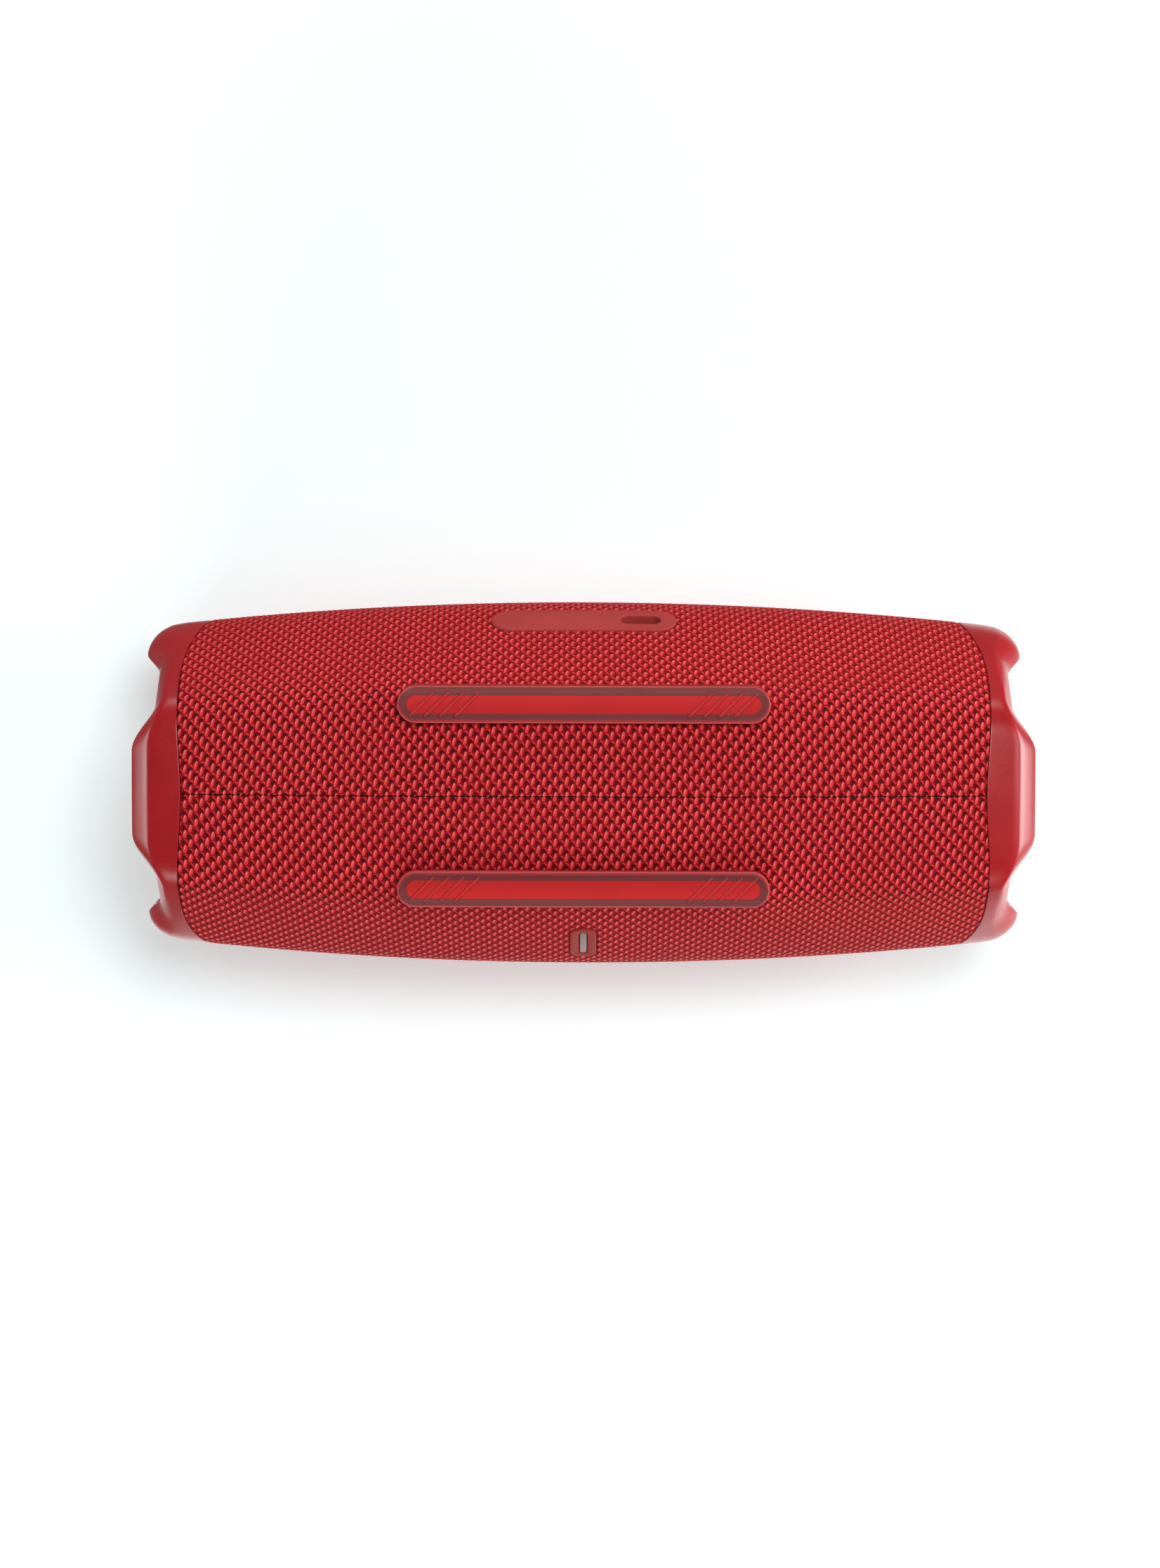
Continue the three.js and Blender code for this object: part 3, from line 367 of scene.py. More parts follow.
class Shader:
    """A Principled material under construction."""

    def __init__(self, name):
        self.material = bpy.data.materials.new(name)
        self.material.use_nodes = True
        self.tree = self.material.node_tree
        self.surface = self.tree.nodes["Principled BSDF"]
        self.spot = self.tree.nodes.new("ShaderNodeTexCoord").outputs["Object"]

    def set(self, **values):
        for key, value in values.items():
            socket = self.surface.inputs[key.replace("_", " ")]
            if isinstance(value, Value):
                self.tree.links.new(value.socket, socket)
            elif isinstance(value, bpy.types.NodeSocket):
                self.tree.links.new(value, socket)
            else:
                socket.default_value = value

    def attribute(self, name, output="Fac"):
        node = self.tree.nodes.new("ShaderNodeAttribute")
        node.attribute_name = name
        return Value(self.tree, node.outputs[output])

    def split(self, socket):
        node = self.tree.nodes.new("ShaderNodeSeparateXYZ")
        self.tree.links.new(socket, node.inputs[0])
        return [Value(self.tree, output) for output in node.outputs]

    def texture(self, kind, scale, stretch):
        mapping = self.tree.nodes.new("ShaderNodeMapping")
        mapping.inputs["Scale"].default_value = stretch
        self.tree.links.new(self.spot, mapping.inputs["Vector"])
        node = self.tree.nodes.new(kind)
        node.inputs["Scale"].default_value = scale
        self.tree.links.new(mapping.outputs[0], node.inputs["Vector"])
        return node

    def noise(self, scale, detail=2.0, stretch=(1, 1, 1)):
        node = self.texture("ShaderNodeTexNoise", scale, stretch)
        node.inputs["Detail"].default_value = detail
        return Value(self.tree, node.outputs["Fac"])

    def cells(self, scale, stretch):
        node = self.texture("ShaderNodeTexVoronoi", scale, stretch)
        return Value(self.tree, node.outputs["Distance"])

    def mix(self, share, low, high):
        """Colour between low and high, each a colour socket or an sRGB colour."""
        node = self.tree.nodes.new("ShaderNodeMix")
        node.data_type = "RGBA"
        self.tree.links.new(share.socket, node.inputs[0])
        for socket, color in ((node.inputs[6], low), (node.inputs[7], high)):
            if isinstance(color, bpy.types.NodeSocket):
                self.tree.links.new(color, socket)
            else:
                socket.default_value = linear(color)
        return node.outputs[2]

    def bump(self, height, depth, strength=1.0):
        """depth in millimetres."""
        node = self.tree.nodes.new("ShaderNodeBump")
        node.inputs["Distance"].default_value = depth / 1000
        node.inputs["Strength"].default_value = strength
        self.tree.links.new(height.socket, node.inputs["Height"])
        self.set(Normal=node.outputs[0])


# ---------- the sleeve's weave ----------

COLUMN = 1.4125  # between columns of beads
BEAD_PITCH = 3.8  # between beads along a column
BEAD_HALF = (0.5, 1.12)  # across and along
BEAD_SQUARENESS = 1.7  # 1 gives an ellipse
BEAD_LEAN = math.radians(15)
THREAD_FALL = math.radians(42)  # slope of the thread that runs down from one column's bead to the next's
# Places in a column, measured from the point halfway between two beads.
THREAD_PLACE = (0.15, 0.45)
PORE_PLACE = (-0.15, -0.5)
PORE_HALF = (0.55, 0.68)


def weave_material():
    shader = Shader("knit_red")
    u, v, pore_shade_share = shader.split(shader.attribute("weave", "Vector").socket)
    column = u.math("ROUND")
    odd = column.math("FLOORED_MODULO", 2.0)
    x = (u - column) * COLUMN
    shifted = v - odd * 0.5
    y = (shifted - shifted.math("ROUND")) * BEAD_PITCH
    between = shifted + 0.5
    y_between = (between - between.math("ROUND")) * BEAD_PITCH

    def turned_to(angle, dx, dy):
        """Distances along and across a line at an angle from the rows."""
        cos, sin = math.cos(angle), math.sin(angle)
        return dx * cos + dy * sin, dy * cos - dx * sin

    along, across = turned_to(math.pi / 2 - BEAD_LEAN, x, y)
    square = (across * (1 / BEAD_HALF[0])).math("POWER", 2.0).math("POWER", BEAD_SQUARENESS)
    square = square + (along * (1 / BEAD_HALF[1])).math("POWER", 2.0).math("POWER", BEAD_SQUARENESS)
    bead = square.fade(1.15, 0.7)
    clear = square.fade(1.3, 2.0)
    dome = (1.0 - square).math("MAXIMUM", 0.0).math("SQRT")
    # A painted highlight: a light pink streak along one long edge of each bead, mixed into the bead's colour
    # below.
    painted_highlight = (across - 0.2).math("ABSOLUTE").fade(0.24, 0.04) * bead * along.fade(-0.8, 0.4)

    along, across = turned_to(-THREAD_FALL, x - THREAD_PLACE[0], y_between - THREAD_PLACE[1])
    thread = along.math("ABSOLUTE").fade(1.0, 0.75) * across.math("ABSOLUTE").fade(0.32, 0.16) * clear

    # Each pore is painted near-black: painted shade in the knit's openings, as deep as the weave attribute's
    # third share allows.
    dx, dy = x - PORE_PLACE[0], y_between - PORE_PLACE[1]
    oval = (dx * (1 / PORE_HALF[0])).math("POWER", 2.0) + (dy * (1 / PORE_HALF[1])).math("POWER", 2.0)
    strand = dx.math("ABSOLUTE").math("MINIMUM", dy.math("ABSOLUTE")).fade(0.14, 0.05)
    pore = oval.fade(1.2, 0.6) * pore_shade_share * (1.0 - strand * 0.6) * clear

    fibre = shader.noise(9000, 3.0, stretch=(1, 0.35, 1))
    blotch = shader.noise(60, 3.0)
    body = shader.mix(fibre.fade(0.3, 0.7), (208, 46, 50), (232, 68, 70))
    body = shader.mix(painted_highlight * 0.7, body, (255, 132, 130))
    # The ground between the beads is the yarn's red darkened as painted shade in the knit's hollows; the
    # threads crossing it keep the yarn's own lighter red.
    ground = shader.mix(pore, (140, 5, 18), (30, 5, 10))
    ground = shader.mix(thread, ground, (214, 52, 56))
    knit = shader.mix(bead, ground, body)
    knit = shader.mix(blotch.fade(0.35, 0.75) * 0.18, knit, (150, 14, 26))
    shader.set(Base_Color=knit)
    shader.set(Roughness=0.85 - bead * 0.2 + (fibre - 0.5) * 0.15, Specular_IOR_Level=0.14)
    shader.set(Sheen_Weight=0.04, Sheen_Roughness=0.45, Sheen_Tint=linear((255, 150, 150)))
    relief = dome * 0.65 + bead * 0.25 + thread * 0.4 - pore * 0.3 + fibre * 0.12
    shader.bump(relief, 0.4, 0.9)
    return shader.material


# ---------- the sleeve and what shows through it ----------


def arc_at(angle):
    """Arc length from the top line of the mid-length section's point at degrees from straight down."""
    return np.interp(math.radians(angle), SECTION_ANGLE[::-1], SECTION_ARC[::-1])


FOOT_Y = (node_box("foot_base_rear")[0][1] + node_box("foot_base_rear")[1][1]) / 2
FOOT_SIZE = (93.4, 9.4)
PORT_SIZE = (47.6, 11.2)
PORT_ARC = BACK * arc_at(70.2)
USB_SIZE = (10.4, 4.3)
USB_X = -14.5
LED_SIZE = (6.9, 18.0)
LED_CORNER = 3.05
LED_ARC = FRONT * arc_at(60.5)
LENS_SIZE = (1.9, 13.5)
BUTTONS = {
    name: (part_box(name)[0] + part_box(name)[1]) * 500
    for name in frame["bodies"]
    if name.startswith("button_")
}
LARGE_BUTTONS = ("button_volume_down", "button_play", "button_volume_up")
SEAM_HALF, SEAM_RAGGED = 0.17, 0.11  # half of the gap at the seam, and how far that swings
FOOT_OVERLAP = 0.1  # of the sleeve over the feet's outline
PLATE_CLEARANCE = 0.12  # round the port plate and the light tab
BUTTON_CLEARANCE = 0.3
FAR = 99.0  # beyond every edge, for an opening that is on the barrel's other half


def button_radius(name):
    return 6.0 if name in LARGE_BUTTONS else 4.4


def sleeve_gap(x, arc):
    """Distance to the sleeve's nearest edge: its ends, its seam, and its openings."""
    size = swell(x)
    point = on_barrel(x, arc)
    y, z = point[..., 1], point[..., 2]
    seam = SEAM_HALF - SEAM_RAGGED * np.cos(2 * np.pi * x / COLUMN)
    gaps = [fabric_edge(angle_at(x, arc)) + 0.2 - np.abs(x), HALF_GIRTH * size - seam - np.abs(arc)]
    below = np.where(z > CENTRE_Z, FAR, 0.0)
    for side in (-1, 1):
        gaps.append(rounded_gap(x, y - side * FOOT_Y, *FOOT_SIZE) + FOOT_OVERLAP + below)
    gaps.append(rounded_gap(x, arc - PORT_ARC * size, *PORT_SIZE) - PLATE_CLEARANCE)
    gaps.append(rounded_gap(x, arc - LED_ARC * size, *LED_SIZE, LED_CORNER) - PLATE_CLEARANCE)
    above = np.where(z < CENTRE_Z, FAR, 0.0)
    for name, middle in BUTTONS.items():
        gaps.append(np.hypot(x - middle[0], y - middle[1]) - button_radius(name) - BUTTON_CLEARANCE + above)
    return np.minimum.reduce(gaps)


def knit_height(x, arc, gap):
    u, v = -x / COLUMN, arc / BEAD_PITCH
    beads = np.cos(np.pi * u) * np.cos(2 * np.pi * v)
    lean = np.sin(np.pi * u) * np.sin(2 * np.pi * v)
    return (0.16 * beads + 0.06 * lean - 0.1) * smooth(0, 1.1, gap) - 0.22 * (1 - smooth(0, 0.9, gap))


def knit_place(x, arc):
    """Column, bead and how dark the pores are painted: their painted shade is full over the underside and 0.4
    further round.
    """
    from_seam = HALF_GIRTH * swell(x) - np.abs(arc)
    return np.stack([-x / COLUMN, arc / BEAD_PITCH, 0.4 + 0.6 * smooth(33, 27, from_seam)], -1)


def make_sleeve():
    half_columns = 146
    half_rows = 158
    sleeve = patch(
        "knitted_sleeve",
        np.arange(-half_columns, half_columns + 1) * COLUMN / 2,
        np.arange(-half_rows, half_rows + 1) * BEAD_PITCH / 4,
        sleeve_gap,
        on_barrel,
        rim=((0.05, -0.2), (0.07, -0.8)),
        lift=knit_height,
        weave=knit_place,
    )
    sleeve.data.materials.append(weave_material())
    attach(sleeve, "case")
    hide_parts("fabric_sleeve")


# ---------- materials for moulded and metal parts ----------


def moulded(name, color, roughness=0.5, grain=2600, depth=0.02, mottle=0.1, **values):
    """Moulded rubber or plastic: fine spark-eroded grain and slight mottling."""
    shader = Shader(name)
    fine = shader.noise(grain, 4.0)
    wide = shader.noise(55, 3.0)
    darker = [c * (1 - mottle) for c in color]
    lighter = [min(255, c * (1 + mottle) + 2) for c in color]
    body = shader.mix((wide * 0.6 + fine * 0.4).fade(0.3, 0.7), darker, lighter)
    shader.set(Base_Color=body, Roughness=(wide - 0.5) * 0.16 + (fine - 0.5) * 0.2 + roughness)
    shader.set(**values)
    shader.bump(fine, depth, 0.6)
    return shader


def brushed(name, color, roughness, stretch):
    shader = Shader(name)
    lines = shader.noise(900, 5.0, stretch=stretch)
    stain = shader.noise(70, 3.0)
    body = shader.mix(lines.fade(0.3, 0.7), [c * 0.82 for c in color], color)
    shader.set(Base_Color=body, Metallic=1.0, Roughness=lines * 0.25 + stain * 0.12 + (roughness - 0.15))
    shader.bump(lines, 0.01, 0.5)
    return shader.material


def board_material():
    shader = Shader("solder_mask")
    traces = shader.cells(420, stretch=(1, 0.3, 1))
    copper = traces.fade(0.16, 0.1)
    weave = shader.noise(1500, 2.0)
    shader.set(Base_Color=shader.mix(copper * 0.6, (14, 74, 38), (60, 128, 66)), Roughness=weave * 0.2 + 0.3)
    shader.bump(copper + weave * 0.2, 0.03, 0.6)
    return shader.material


def cloth_material():
    shader = Shader("resin_cloth")
    x, _, z = shader.split(shader.spot)
    warp = (x * 5200.0).math("SINE") * (z * 5200.0).math("SINE")
    stain = shader.noise(130, 3.0)
    shader.set(Base_Color=shader.mix((warp * 0.5 + stain).fade(0.0, 1.0), (150, 112, 40), (222, 184, 96)))
    shader.set(Roughness=stain * 0.2 + 0.65)
    shader.bump(warp, 0.06, 0.7)
    return shader.material


def winding_material():
    shader = Shader("copper_winding")
    _, y, _ = shader.split(shader.spot)
    turns = (y * 21000.0).math("SINE")
    stain = shader.noise(300, 3.0)
    shader.set(Base_Color=shader.mix(stain.fade(0.3, 0.7), (176, 92, 48), (226, 138, 84)), Metallic=0.9)
    shader.set(Roughness=stain * 0.2 + 0.25)
    shader.bump(turns, 0.05, 0.8)
    return shader.material


def wrap_material():
    shader = moulded("cell_wrap", (38, 104, 178), roughness=0.3, grain=700, depth=0.02, mottle=0.08)
    wrinkle = shader.noise(240, 4.0, stretch=(0.2, 1, 1))
    shader.bump(wrinkle, 0.12, 0.5)
    shader.set(Roughness=wrinkle * 0.25 + 0.18)
    return shader.material


MOULDINGS = {
    "bumper_rubber": ((162, 16, 24), dict(roughness=0.34, mottle=0.04, Specular_IOR_Level=0.43)),
    "port_rubber": ((168, 52, 51), dict(roughness=0.65, grain=3200, mottle=0.05, Specular_IOR_Level=0.3)),
    "red_plastic": ((150, 44, 36), dict(roughness=0.55, grain=3000, mottle=0.05, Specular_IOR_Level=0.15)),
    "button_rubber": ((164, 22, 30), dict(roughness=0.5, mottle=0.05, Specular_IOR_Level=0.3)),
    "black_plastic": ((34, 34, 36), dict(roughness=0.5, mottle=0.2)),
    "black_rubber": ((24, 24, 25), dict(roughness=0.7, grain=1800, mottle=0.25)),
    "paper_cone": ((40, 40, 44), dict(roughness=0.8, grain=900, depth=0.08, mottle=0.3)),
}
SLOTS = {name: moulded(name, color, **options).material for name, (color, options) in MOULDINGS.items()}
SLOTS |= {
    "spider_cloth": cloth_material(),
    "steel": brushed("plated_steel", (178, 180, 184), 0.35, (1, 0.1, 1)),
    "copper": winding_material(),
    "aluminium": brushed("extruded_aluminium", (206, 208, 210), 0.35, (1, 1, 0.08)),
    "circuit_board": board_material(),
    "cell_wrap": wrap_material(),
}

NODE_SLOTS = (
    ("_screw", "steel"), ("usb_shell", "steel"), ("_magnet", "steel"), ("wireless_module", "steel"),
    ("_board", "circuit_board"), ("battery_cell", "cell_wrap"), ("heatsink", "aluminium"),
    ("voice_coil", "copper"), ("spider", "spider_cloth"), ("surround", "black_rubber"),
    ("keypad_membrane", "black_rubber"), ("woofer_cone", "paper_cone"), ("tweeter_dome", "paper_cone"),
)


def paint_nodes():
    """Gives every CAD node that still shows the material of its kind; the rest are black mouldings."""
    for name, node in frame["nodes"].items():
        if node.hide_render:
            continue
        slot = next((slot for part, slot in NODE_SLOTS if part in name), "black_plastic")
        node.data.materials.clear()
        node.data.materials.append(SLOTS[slot])


# ---------- end bumpers ----------

# Lobes are at the top and bottom, ears at the front and back.
LOBE_TIP_X, EAR_TIP_X, VALLEY_X = 114.4, 112.9, 108.8
LOBE_SPREAD, EAR_SPREAD = (17, 35), (9, 31)  # half-angles where it stops being flat and where it is gone
ROUND_START_X = 103.0
EAR_ROUND = ((0, 0), (0.35, 0.25), (0.52, 0.75), (0.68, 1.5), (0.82, 2.6), (0.94, 4.2), (1, 6.2))
LOBE_ROUND = ((0, 0), (0.4, 0.12), (0.56, 0.45), (0.64, 1.0), (0.76, 2.35), (0.92, 4.5), (1, 6.2))
LIP = ((0.95, 33.2), (0.8, 31.8))
DISH = (104.6, 29.9)
SOCKET = (96.3, 36.6)


def bumper_tip(angle):
    quarter = math.pi / 2
    from_lobe = abs(angle - round(angle / quarter) * quarter)
    on_lobe = abs(math.cos(angle)) > math.sqrt(0.5)
    flat, foot = (math.radians(a) for a in (LOBE_SPREAD if on_lobe else EAR_SPREAD))
    tip = LOBE_TIP_X if on_lobe else EAR_TIP_X
    return VALLEY_X + (tip - VALLEY_X) * (1 - smooth(flat, foot, from_lobe))


def bumper_profile(angle):
    folded = math.acos(max(-1.0, min(1.0, math.cos(angle))))
    section = np.interp(folded, SECTION_ANGLE[::-1], np.hypot(*SECTION.T)[::-1])
    edge = float(fabric_edge(angle)) + 0.3
    reach = bumper_tip(angle) - ROUND_START_X

    def at(x, inset):
        return [x, section * swell(x, inset)]

    skin = [at(x, 0) for x in np.linspace(edge + 0.3, ROUND_START_X - 0.4, 9)]
    lobe = smooth(0.35, 0.65, math.cos(angle) ** 2)
    rounding = [
        at(ROUND_START_X + (ear[0] + (end[0] - ear[0]) * lobe) * reach, ear[1] + (end[1] - ear[1]) * lobe)
        for ear, end in zip(EAR_ROUND, LOBE_ROUND)
    ]
    lip = [[ROUND_START_X + share * reach, radius] for share, radius in LIP]
    outer = curve_through([*rounding, *lip, list(DISH)], 4)
    inner = [list(SOCKET), at(SOCKET[0], 1.8), at(edge, 1.8), at(edge, 0.3), at(edge + 0.1, 0.05)]
    return [*inner, *skin, *outer, [DISH[0], SOCKET[1]]]


def make_bumper(name, side):
    angles = np.linspace(0, 2 * math.pi, 288, endpoint=False)
    profiles = np.array([bumper_profile(angle) for angle in angles])
    x, radius = profiles[..., 0].T, profiles[..., 1].T
    rings = np.stack([side * x, -radius * np.sin(angles), CENTRE_Z - radius * np.cos(angles)], -1)
    bumper = loft(f"bumper_{name}", rings, 50, closed_profile=True)
    bumper.data.materials.append(SLOTS["bumper_rubber"])
    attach(bumper, "case")
    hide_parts(f"end_bumper_{name}")


# ---------- feet ----------

FOOT_RIM = 2.2
FOOT_SLANT = (2.4, 3.0)  # how far across the foot its outer edge starts to turn up, and how high it goes
RIDGE_LENGTH, RIDGE_WIDTH = 9.0, 0.85
RIDGES_PER_END = 4
FIRST_RIDGE_X = 40.6
RIDGE_PITCH = 3.8


def ridge_gap(x, y):
    """Distance outside the nearest slanting ridge."""
    gaps = []
    for end in (-1, 1):
        for i in range(RIDGES_PER_END):
            dx = x - end * (FIRST_RIDGE_X - i * RIDGE_PITCH)
            along, across = (y - dx) * math.sqrt(0.5), (y + dx) * math.sqrt(0.5)
            gaps.append(rounded_gap(along, across, RIDGE_LENGTH, RIDGE_WIDTH))
    return np.minimum.reduce(gaps)


def ridge_height(x, y):
    return smooth(0.1, -0.12, ridge_gap(x, y)) * 0.14


def foot_materials():
    base = Shader("foot_frosted")
    edge, ridge, outward = (base.attribute(name) for name in ("edge", "ridge", "outward"))
    fine, wide = base.noise(3000, 3.0), base.noise(90, 3.0)
    inner = outward.fade(0.8, -1.2)
    grey = base.mix(inner, (116, 45, 45), (108, 36, 38))
    band = (edge + (wide - 0.5) * 0.2 - inner * 0.75).fade(0.0, 0.35)
    color = base.mix(band, (156, 38, 44), grey)
    # A thin painted highlight, light pink, along the rim just inside the foot's outline.
    color = base.mix((edge - 0.28).math("ABSOLUTE").fade(0.24, 0.04) * 0.8, color, (196, 78, 78))
    color = base.mix(ridge.fade(0.16, 0.02) * 0.45, color, (78, 26, 32))
    color = base.mix(ridge.fade(-0.06, -0.2), color, (146, 46, 48))
    base.set(Base_Color=color, Roughness=wide * 0.15 + fine * 0.12 + 0.42, Specular_IOR_Level=0.25)
    base.bump(fine, 0.02, 0.5)

    insert = Shader("foot_red")
    edge, ridge, outward = (insert.attribute(name) for name in ("edge", "ridge", "outward"))
    fine, wide = insert.noise(2600, 3.0), insert.noise(45, 3.0)
    color = insert.mix((wide * 0.5 + outward * 0.12).fade(0.0, 0.6), (186, 29, 31), (202, 40, 40))
    color = insert.mix(edge.fade(2.6, 2.2) * 0.8, color, (96, 34, 40))
    color = insert.mix(ridge.fade(0.2, 0.02) * 0.5, color, (116, 16, 22))
    color = insert.mix(ridge.fade(-0.05, -0.2), color, (196, 44, 44))
    insert.set(Base_Color=color, Roughness=wide * 0.12 + fine * 0.12 + 0.45, Specular_IOR_Level=0.15)
    insert.bump(fine, 0.02, 0.5)
    return base.material, insert.material


def make_foot(name, y_middle, materials):
    half_x, half_y = FOOT_SIZE[0] / 2, FOOT_SIZE[1] / 2
    x_values = np.arange(-half_x - 0.4, half_x + 0.5, 0.24)
    y_values = np.arange(-half_y - 0.4, half_y + 0.5, 0.24)

    def inside(x, y):
        return -rounded_gap(x, y, *FOOT_SIZE)

    def place(x, y, height):
        return np.stack([x, y_middle + y, -height], -1)

    away = math.copysign(1.0, y_middle)
    slant_start, slant_rise = FOOT_SLANT

    def base_lift(x, y, gap):
        slant = slant_rise * (np.maximum(y * away - slant_start, 0) / (half_y - slant_start)) ** 1.7
        return ridge_height(x, y) - 0.16 - 0.06 * smooth(0.9, 1.7, inside(x, y)) - slant

    fields = {"edge": inside, "ridge": ridge_gap, "outward": lambda x, y: y * away}
    base = patch(
        f"foot_frosted_{name}", x_values, y_values,
        lambda x, y: np.minimum(inside(x, y) - 0.5, FOOT_RIM - inside(x, y)), place,
        rim=((0.2, -0.04), (0.36, -0.15), (0.46, -0.32), (0.5, -0.55), (0.5, -8.0)),
        lift=base_lift, **fields,
    )
    insert = patch(
        f"foot_red_{name}", x_values, y_values,
        lambda x, y: inside(x, y) - FOOT_RIM - 0.14, place,
        rim=((0.08, -0.05), (0.12, -0.2), (0.12, -1.8)),
        lift=lambda x, y, gap: ridge_height(x, y) - 0.24, **fields,
    )
    for piece, node, slot, material in (
        (base, f"foot_base_{name}", "foot_clear", materials[0]),
        (insert, f"foot_insert_{name}", "foot_red", materials[1]),
    ):
        piece.data.materials.append(material)
        face_outwards(piece)
        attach(piece, "case")
        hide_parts(node)


# ---------- port plate and light tab ----------


def make_port():
    def distance(x, t):
        outer = -rounded_gap(x, t, *PORT_SIZE) - 0.4
        recess = rounded_gap(x - USB_X, t, *USB_SIZE) - 0.35
        return np.minimum(outer, recess)

    plate = patch(
        "port_plate_rubber", np.arange(-24, 24.1, 0.3), np.arange(-7.2, 7.3, 0.3), distance,
        lambda x, t, height: on_barrel(x, PORT_ARC * swell(x) + t, height),
        rim=((0.14, -0.03), (0.27, -0.12), (0.35, -0.28), (0.38, -0.5), (0.38, -3.2)),
        lift=level(0.25),
    )
    plate.data.materials.append(SLOTS["port_rubber"])
    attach(plate, "case")
    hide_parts("port_plate")


def lens_material():
    shader = Shader("light_diffuser")
    frost, wide = shader.noise(4200, 3.0), shader.noise(160, 2.0)
    shader.set(Base_Color=shader.mix(wide.fade(0.3, 0.7), (104, 58, 54), (126, 74, 68)))
    shader.set(Roughness=frost * 0.2 + 0.25, Coat_Weight=0.2, Coat_Roughness=0.2)
    shader.bump(frost, 0.015, 0.5)
    return shader.material


def make_light():
    def place(x, t, height):
        return on_barrel(x, LED_ARC * swell(x) + t, height)

    def bezel_gap(x, t):
        return np.minimum(
            -rounded_gap(x, t, *LED_SIZE, LED_CORNER) - 0.35,
            rounded_gap(x, t, LENS_SIZE[0] + 0.3, LENS_SIZE[1] + 0.3) - 0.25,
        )

    x_values, t_values = np.arange(-3.9, 4.0, 0.2), np.arange(-9.4, 9.5, 0.25)
    bezel = patch(
        "light_bezel", x_values, t_values, bezel_gap, place,
        rim=((0.12, -0.03), (0.22, -0.1), (0.28, -0.24), (0.3, -0.45), (0.3, -2.6)),
        lift=lambda x, t, gap: 0.3 - 0.22 * smooth(-0.1, -1.3, rounded_gap(x, t, 4.9, 15.6)),
    )
    lens = patch(
        "light_lens", x_values, t_values, lambda x, t: -rounded_gap(x, t, *LENS_SIZE) - 0.2, place,
        rim=((0.1, -0.05), (0.16, -0.15), (0.16, -2.4)), lift=level(0.06),
    )
    for piece, node, slot, material in (
        (bezel, "led_bezel", "red_plastic", SLOTS["red_plastic"]),
        (lens, "led_lens", "lens", lens_material()),
    ):
        piece.data.materials.append(material)
        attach(piece, "case")
        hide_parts(node)


# ---------- buttons ----------

FLANGE_LOW = 89.4  # underside of the flange that holds a cap in
CAP_PROUD = 0.7  # of the barrel, which the caps follow
ICON_PROUD = 0.55  # of the cap
CAP_WALL = ((-1.2, 0), (-0.75, 0), (-0.45, 0.07), (-0.2, 0.25), (-0.05, 0.52))  # height, inset


def cap_top(x, y):
    return CENTRE_Z + UPPER_HEIGHT * np.sqrt(swell(x, -CAP_PROUD) ** 2 - (y / HALF_DEPTH) ** 2)


def ring_gap(x, y, radius):
    return np.abs(np.hypot(x, y) - radius + 0.4) - 0.4


def triangle_gap(x, y):
    corners = np.array([[-2.4, -3.6], [3.9, 0.0], [-2.4, 3.6]])
    gaps = []
    for i in range(3):
        p, q = corners[i], corners[(i + 1) % 3]
        ahead = (q - p) / np.hypot(*(q - p))
        gaps.append((x - p[0]) * ahead[1] - (y - p[1]) * ahead[0])
    return np.maximum.reduce(gaps)


def bar_gap(x, y):
    return rounded_gap(x, y, 8, 1.8, 0.4)


ICONS = {
    "button_volume_down": bar_gap,
    "button_volume_up": lambda x, y: np.minimum(bar_gap(x, y), bar_gap(y, x)),
    "button_play": triangle_gap,
    "button_power": lambda x, y: np.minimum(ring_gap(x, y, 2.4), rounded_gap(x, y - 2, 1, 3, 0.4)),
    "button_pair": lambda x, y: np.minimum(ring_gap(x + 1.2, y, 1.7), ring_gap(x - 1.2, y, 1.7)),
    "button_link": lambda x, y: np.minimum.reduce(
        [ring_gap(x, y - 1.6, 1.1), ring_gap(x + 1.9, y + 1.4, 1.1), ring_gap(x - 1.9, y + 1.4, 1.1)]
    ),
}


def make_buttons():
    for name, middle in BUTTONS.items():
        radius = button_radius(name)

        def on_cap(x, y, height, middle=middle):
            x, y = middle[0] + x, middle[1] + y
            return np.stack([x, y, cap_top(x, y) + height], -1)

        def cap_place(height, x, y, on_cap=on_cap):
            """Up to 0.5 a height is from the cap's top; above it, 1 is the underside of the flange."""
            points = on_cap(x, y, height)
            points[:, 2] = np.where(height > 0.5, FLANGE_LOW - 1 + height, points[:, 2])
            return points

        flange = [[1, 0.02], [1, radius + 1.1], [1.9, radius + 1.1], [1.9, radius]]
        wall = [[down, radius - inset] for down, inset in CAP_WALL]
        dish = [[-0.12 * (1 - (r / radius) ** 2), r] for r in np.linspace(radius - 0.9, 0.02, 8)]
        cap = turned(f"{name}_cap", [*flange, *wall, *dish], cap_place, steps=72, sharp=50)
        icon = patch(
            f"{name}_icon", np.arange(-5, 5.1, 0.2), np.arange(-5, 5.1, 0.2),
            lambda x, y, shape=ICONS[name]: -shape(x, y) - 0.18,
            on_cap,
            rim=((0.08, -0.03), (0.15, -0.11), (0.18, -0.25), (0.18, -0.9)),
            lift=level(ICON_PROUD),
        )
        for piece in (cap, icon):
            piece.data.materials.append(SLOTS["button_rubber"])
            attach(piece, name)
        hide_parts(name)


# ---------- passive radiators ----------

ROLL_X = 102.6
ROLL_THICK = 0.9
ROLL_INNER, ROLL_OUTER = 22.4, 29.1
PLATE_PROFILE = (
    (97.8, 0.05), (97.8, 9), (100.1, 11), (100.5, 21.6), (100.9, 22.1), (102.0, 22.1), (102.3, 21.8),
    (102.35, 20.8), (102.9, 20.2), (103.1, 19.6), (102.9, 17), (102.55, 12.4), (102.7, 10.8), (103.15, 10.2),
    (103.2, 9.4), (103.2, 0.05),
)
SECTORS = 12


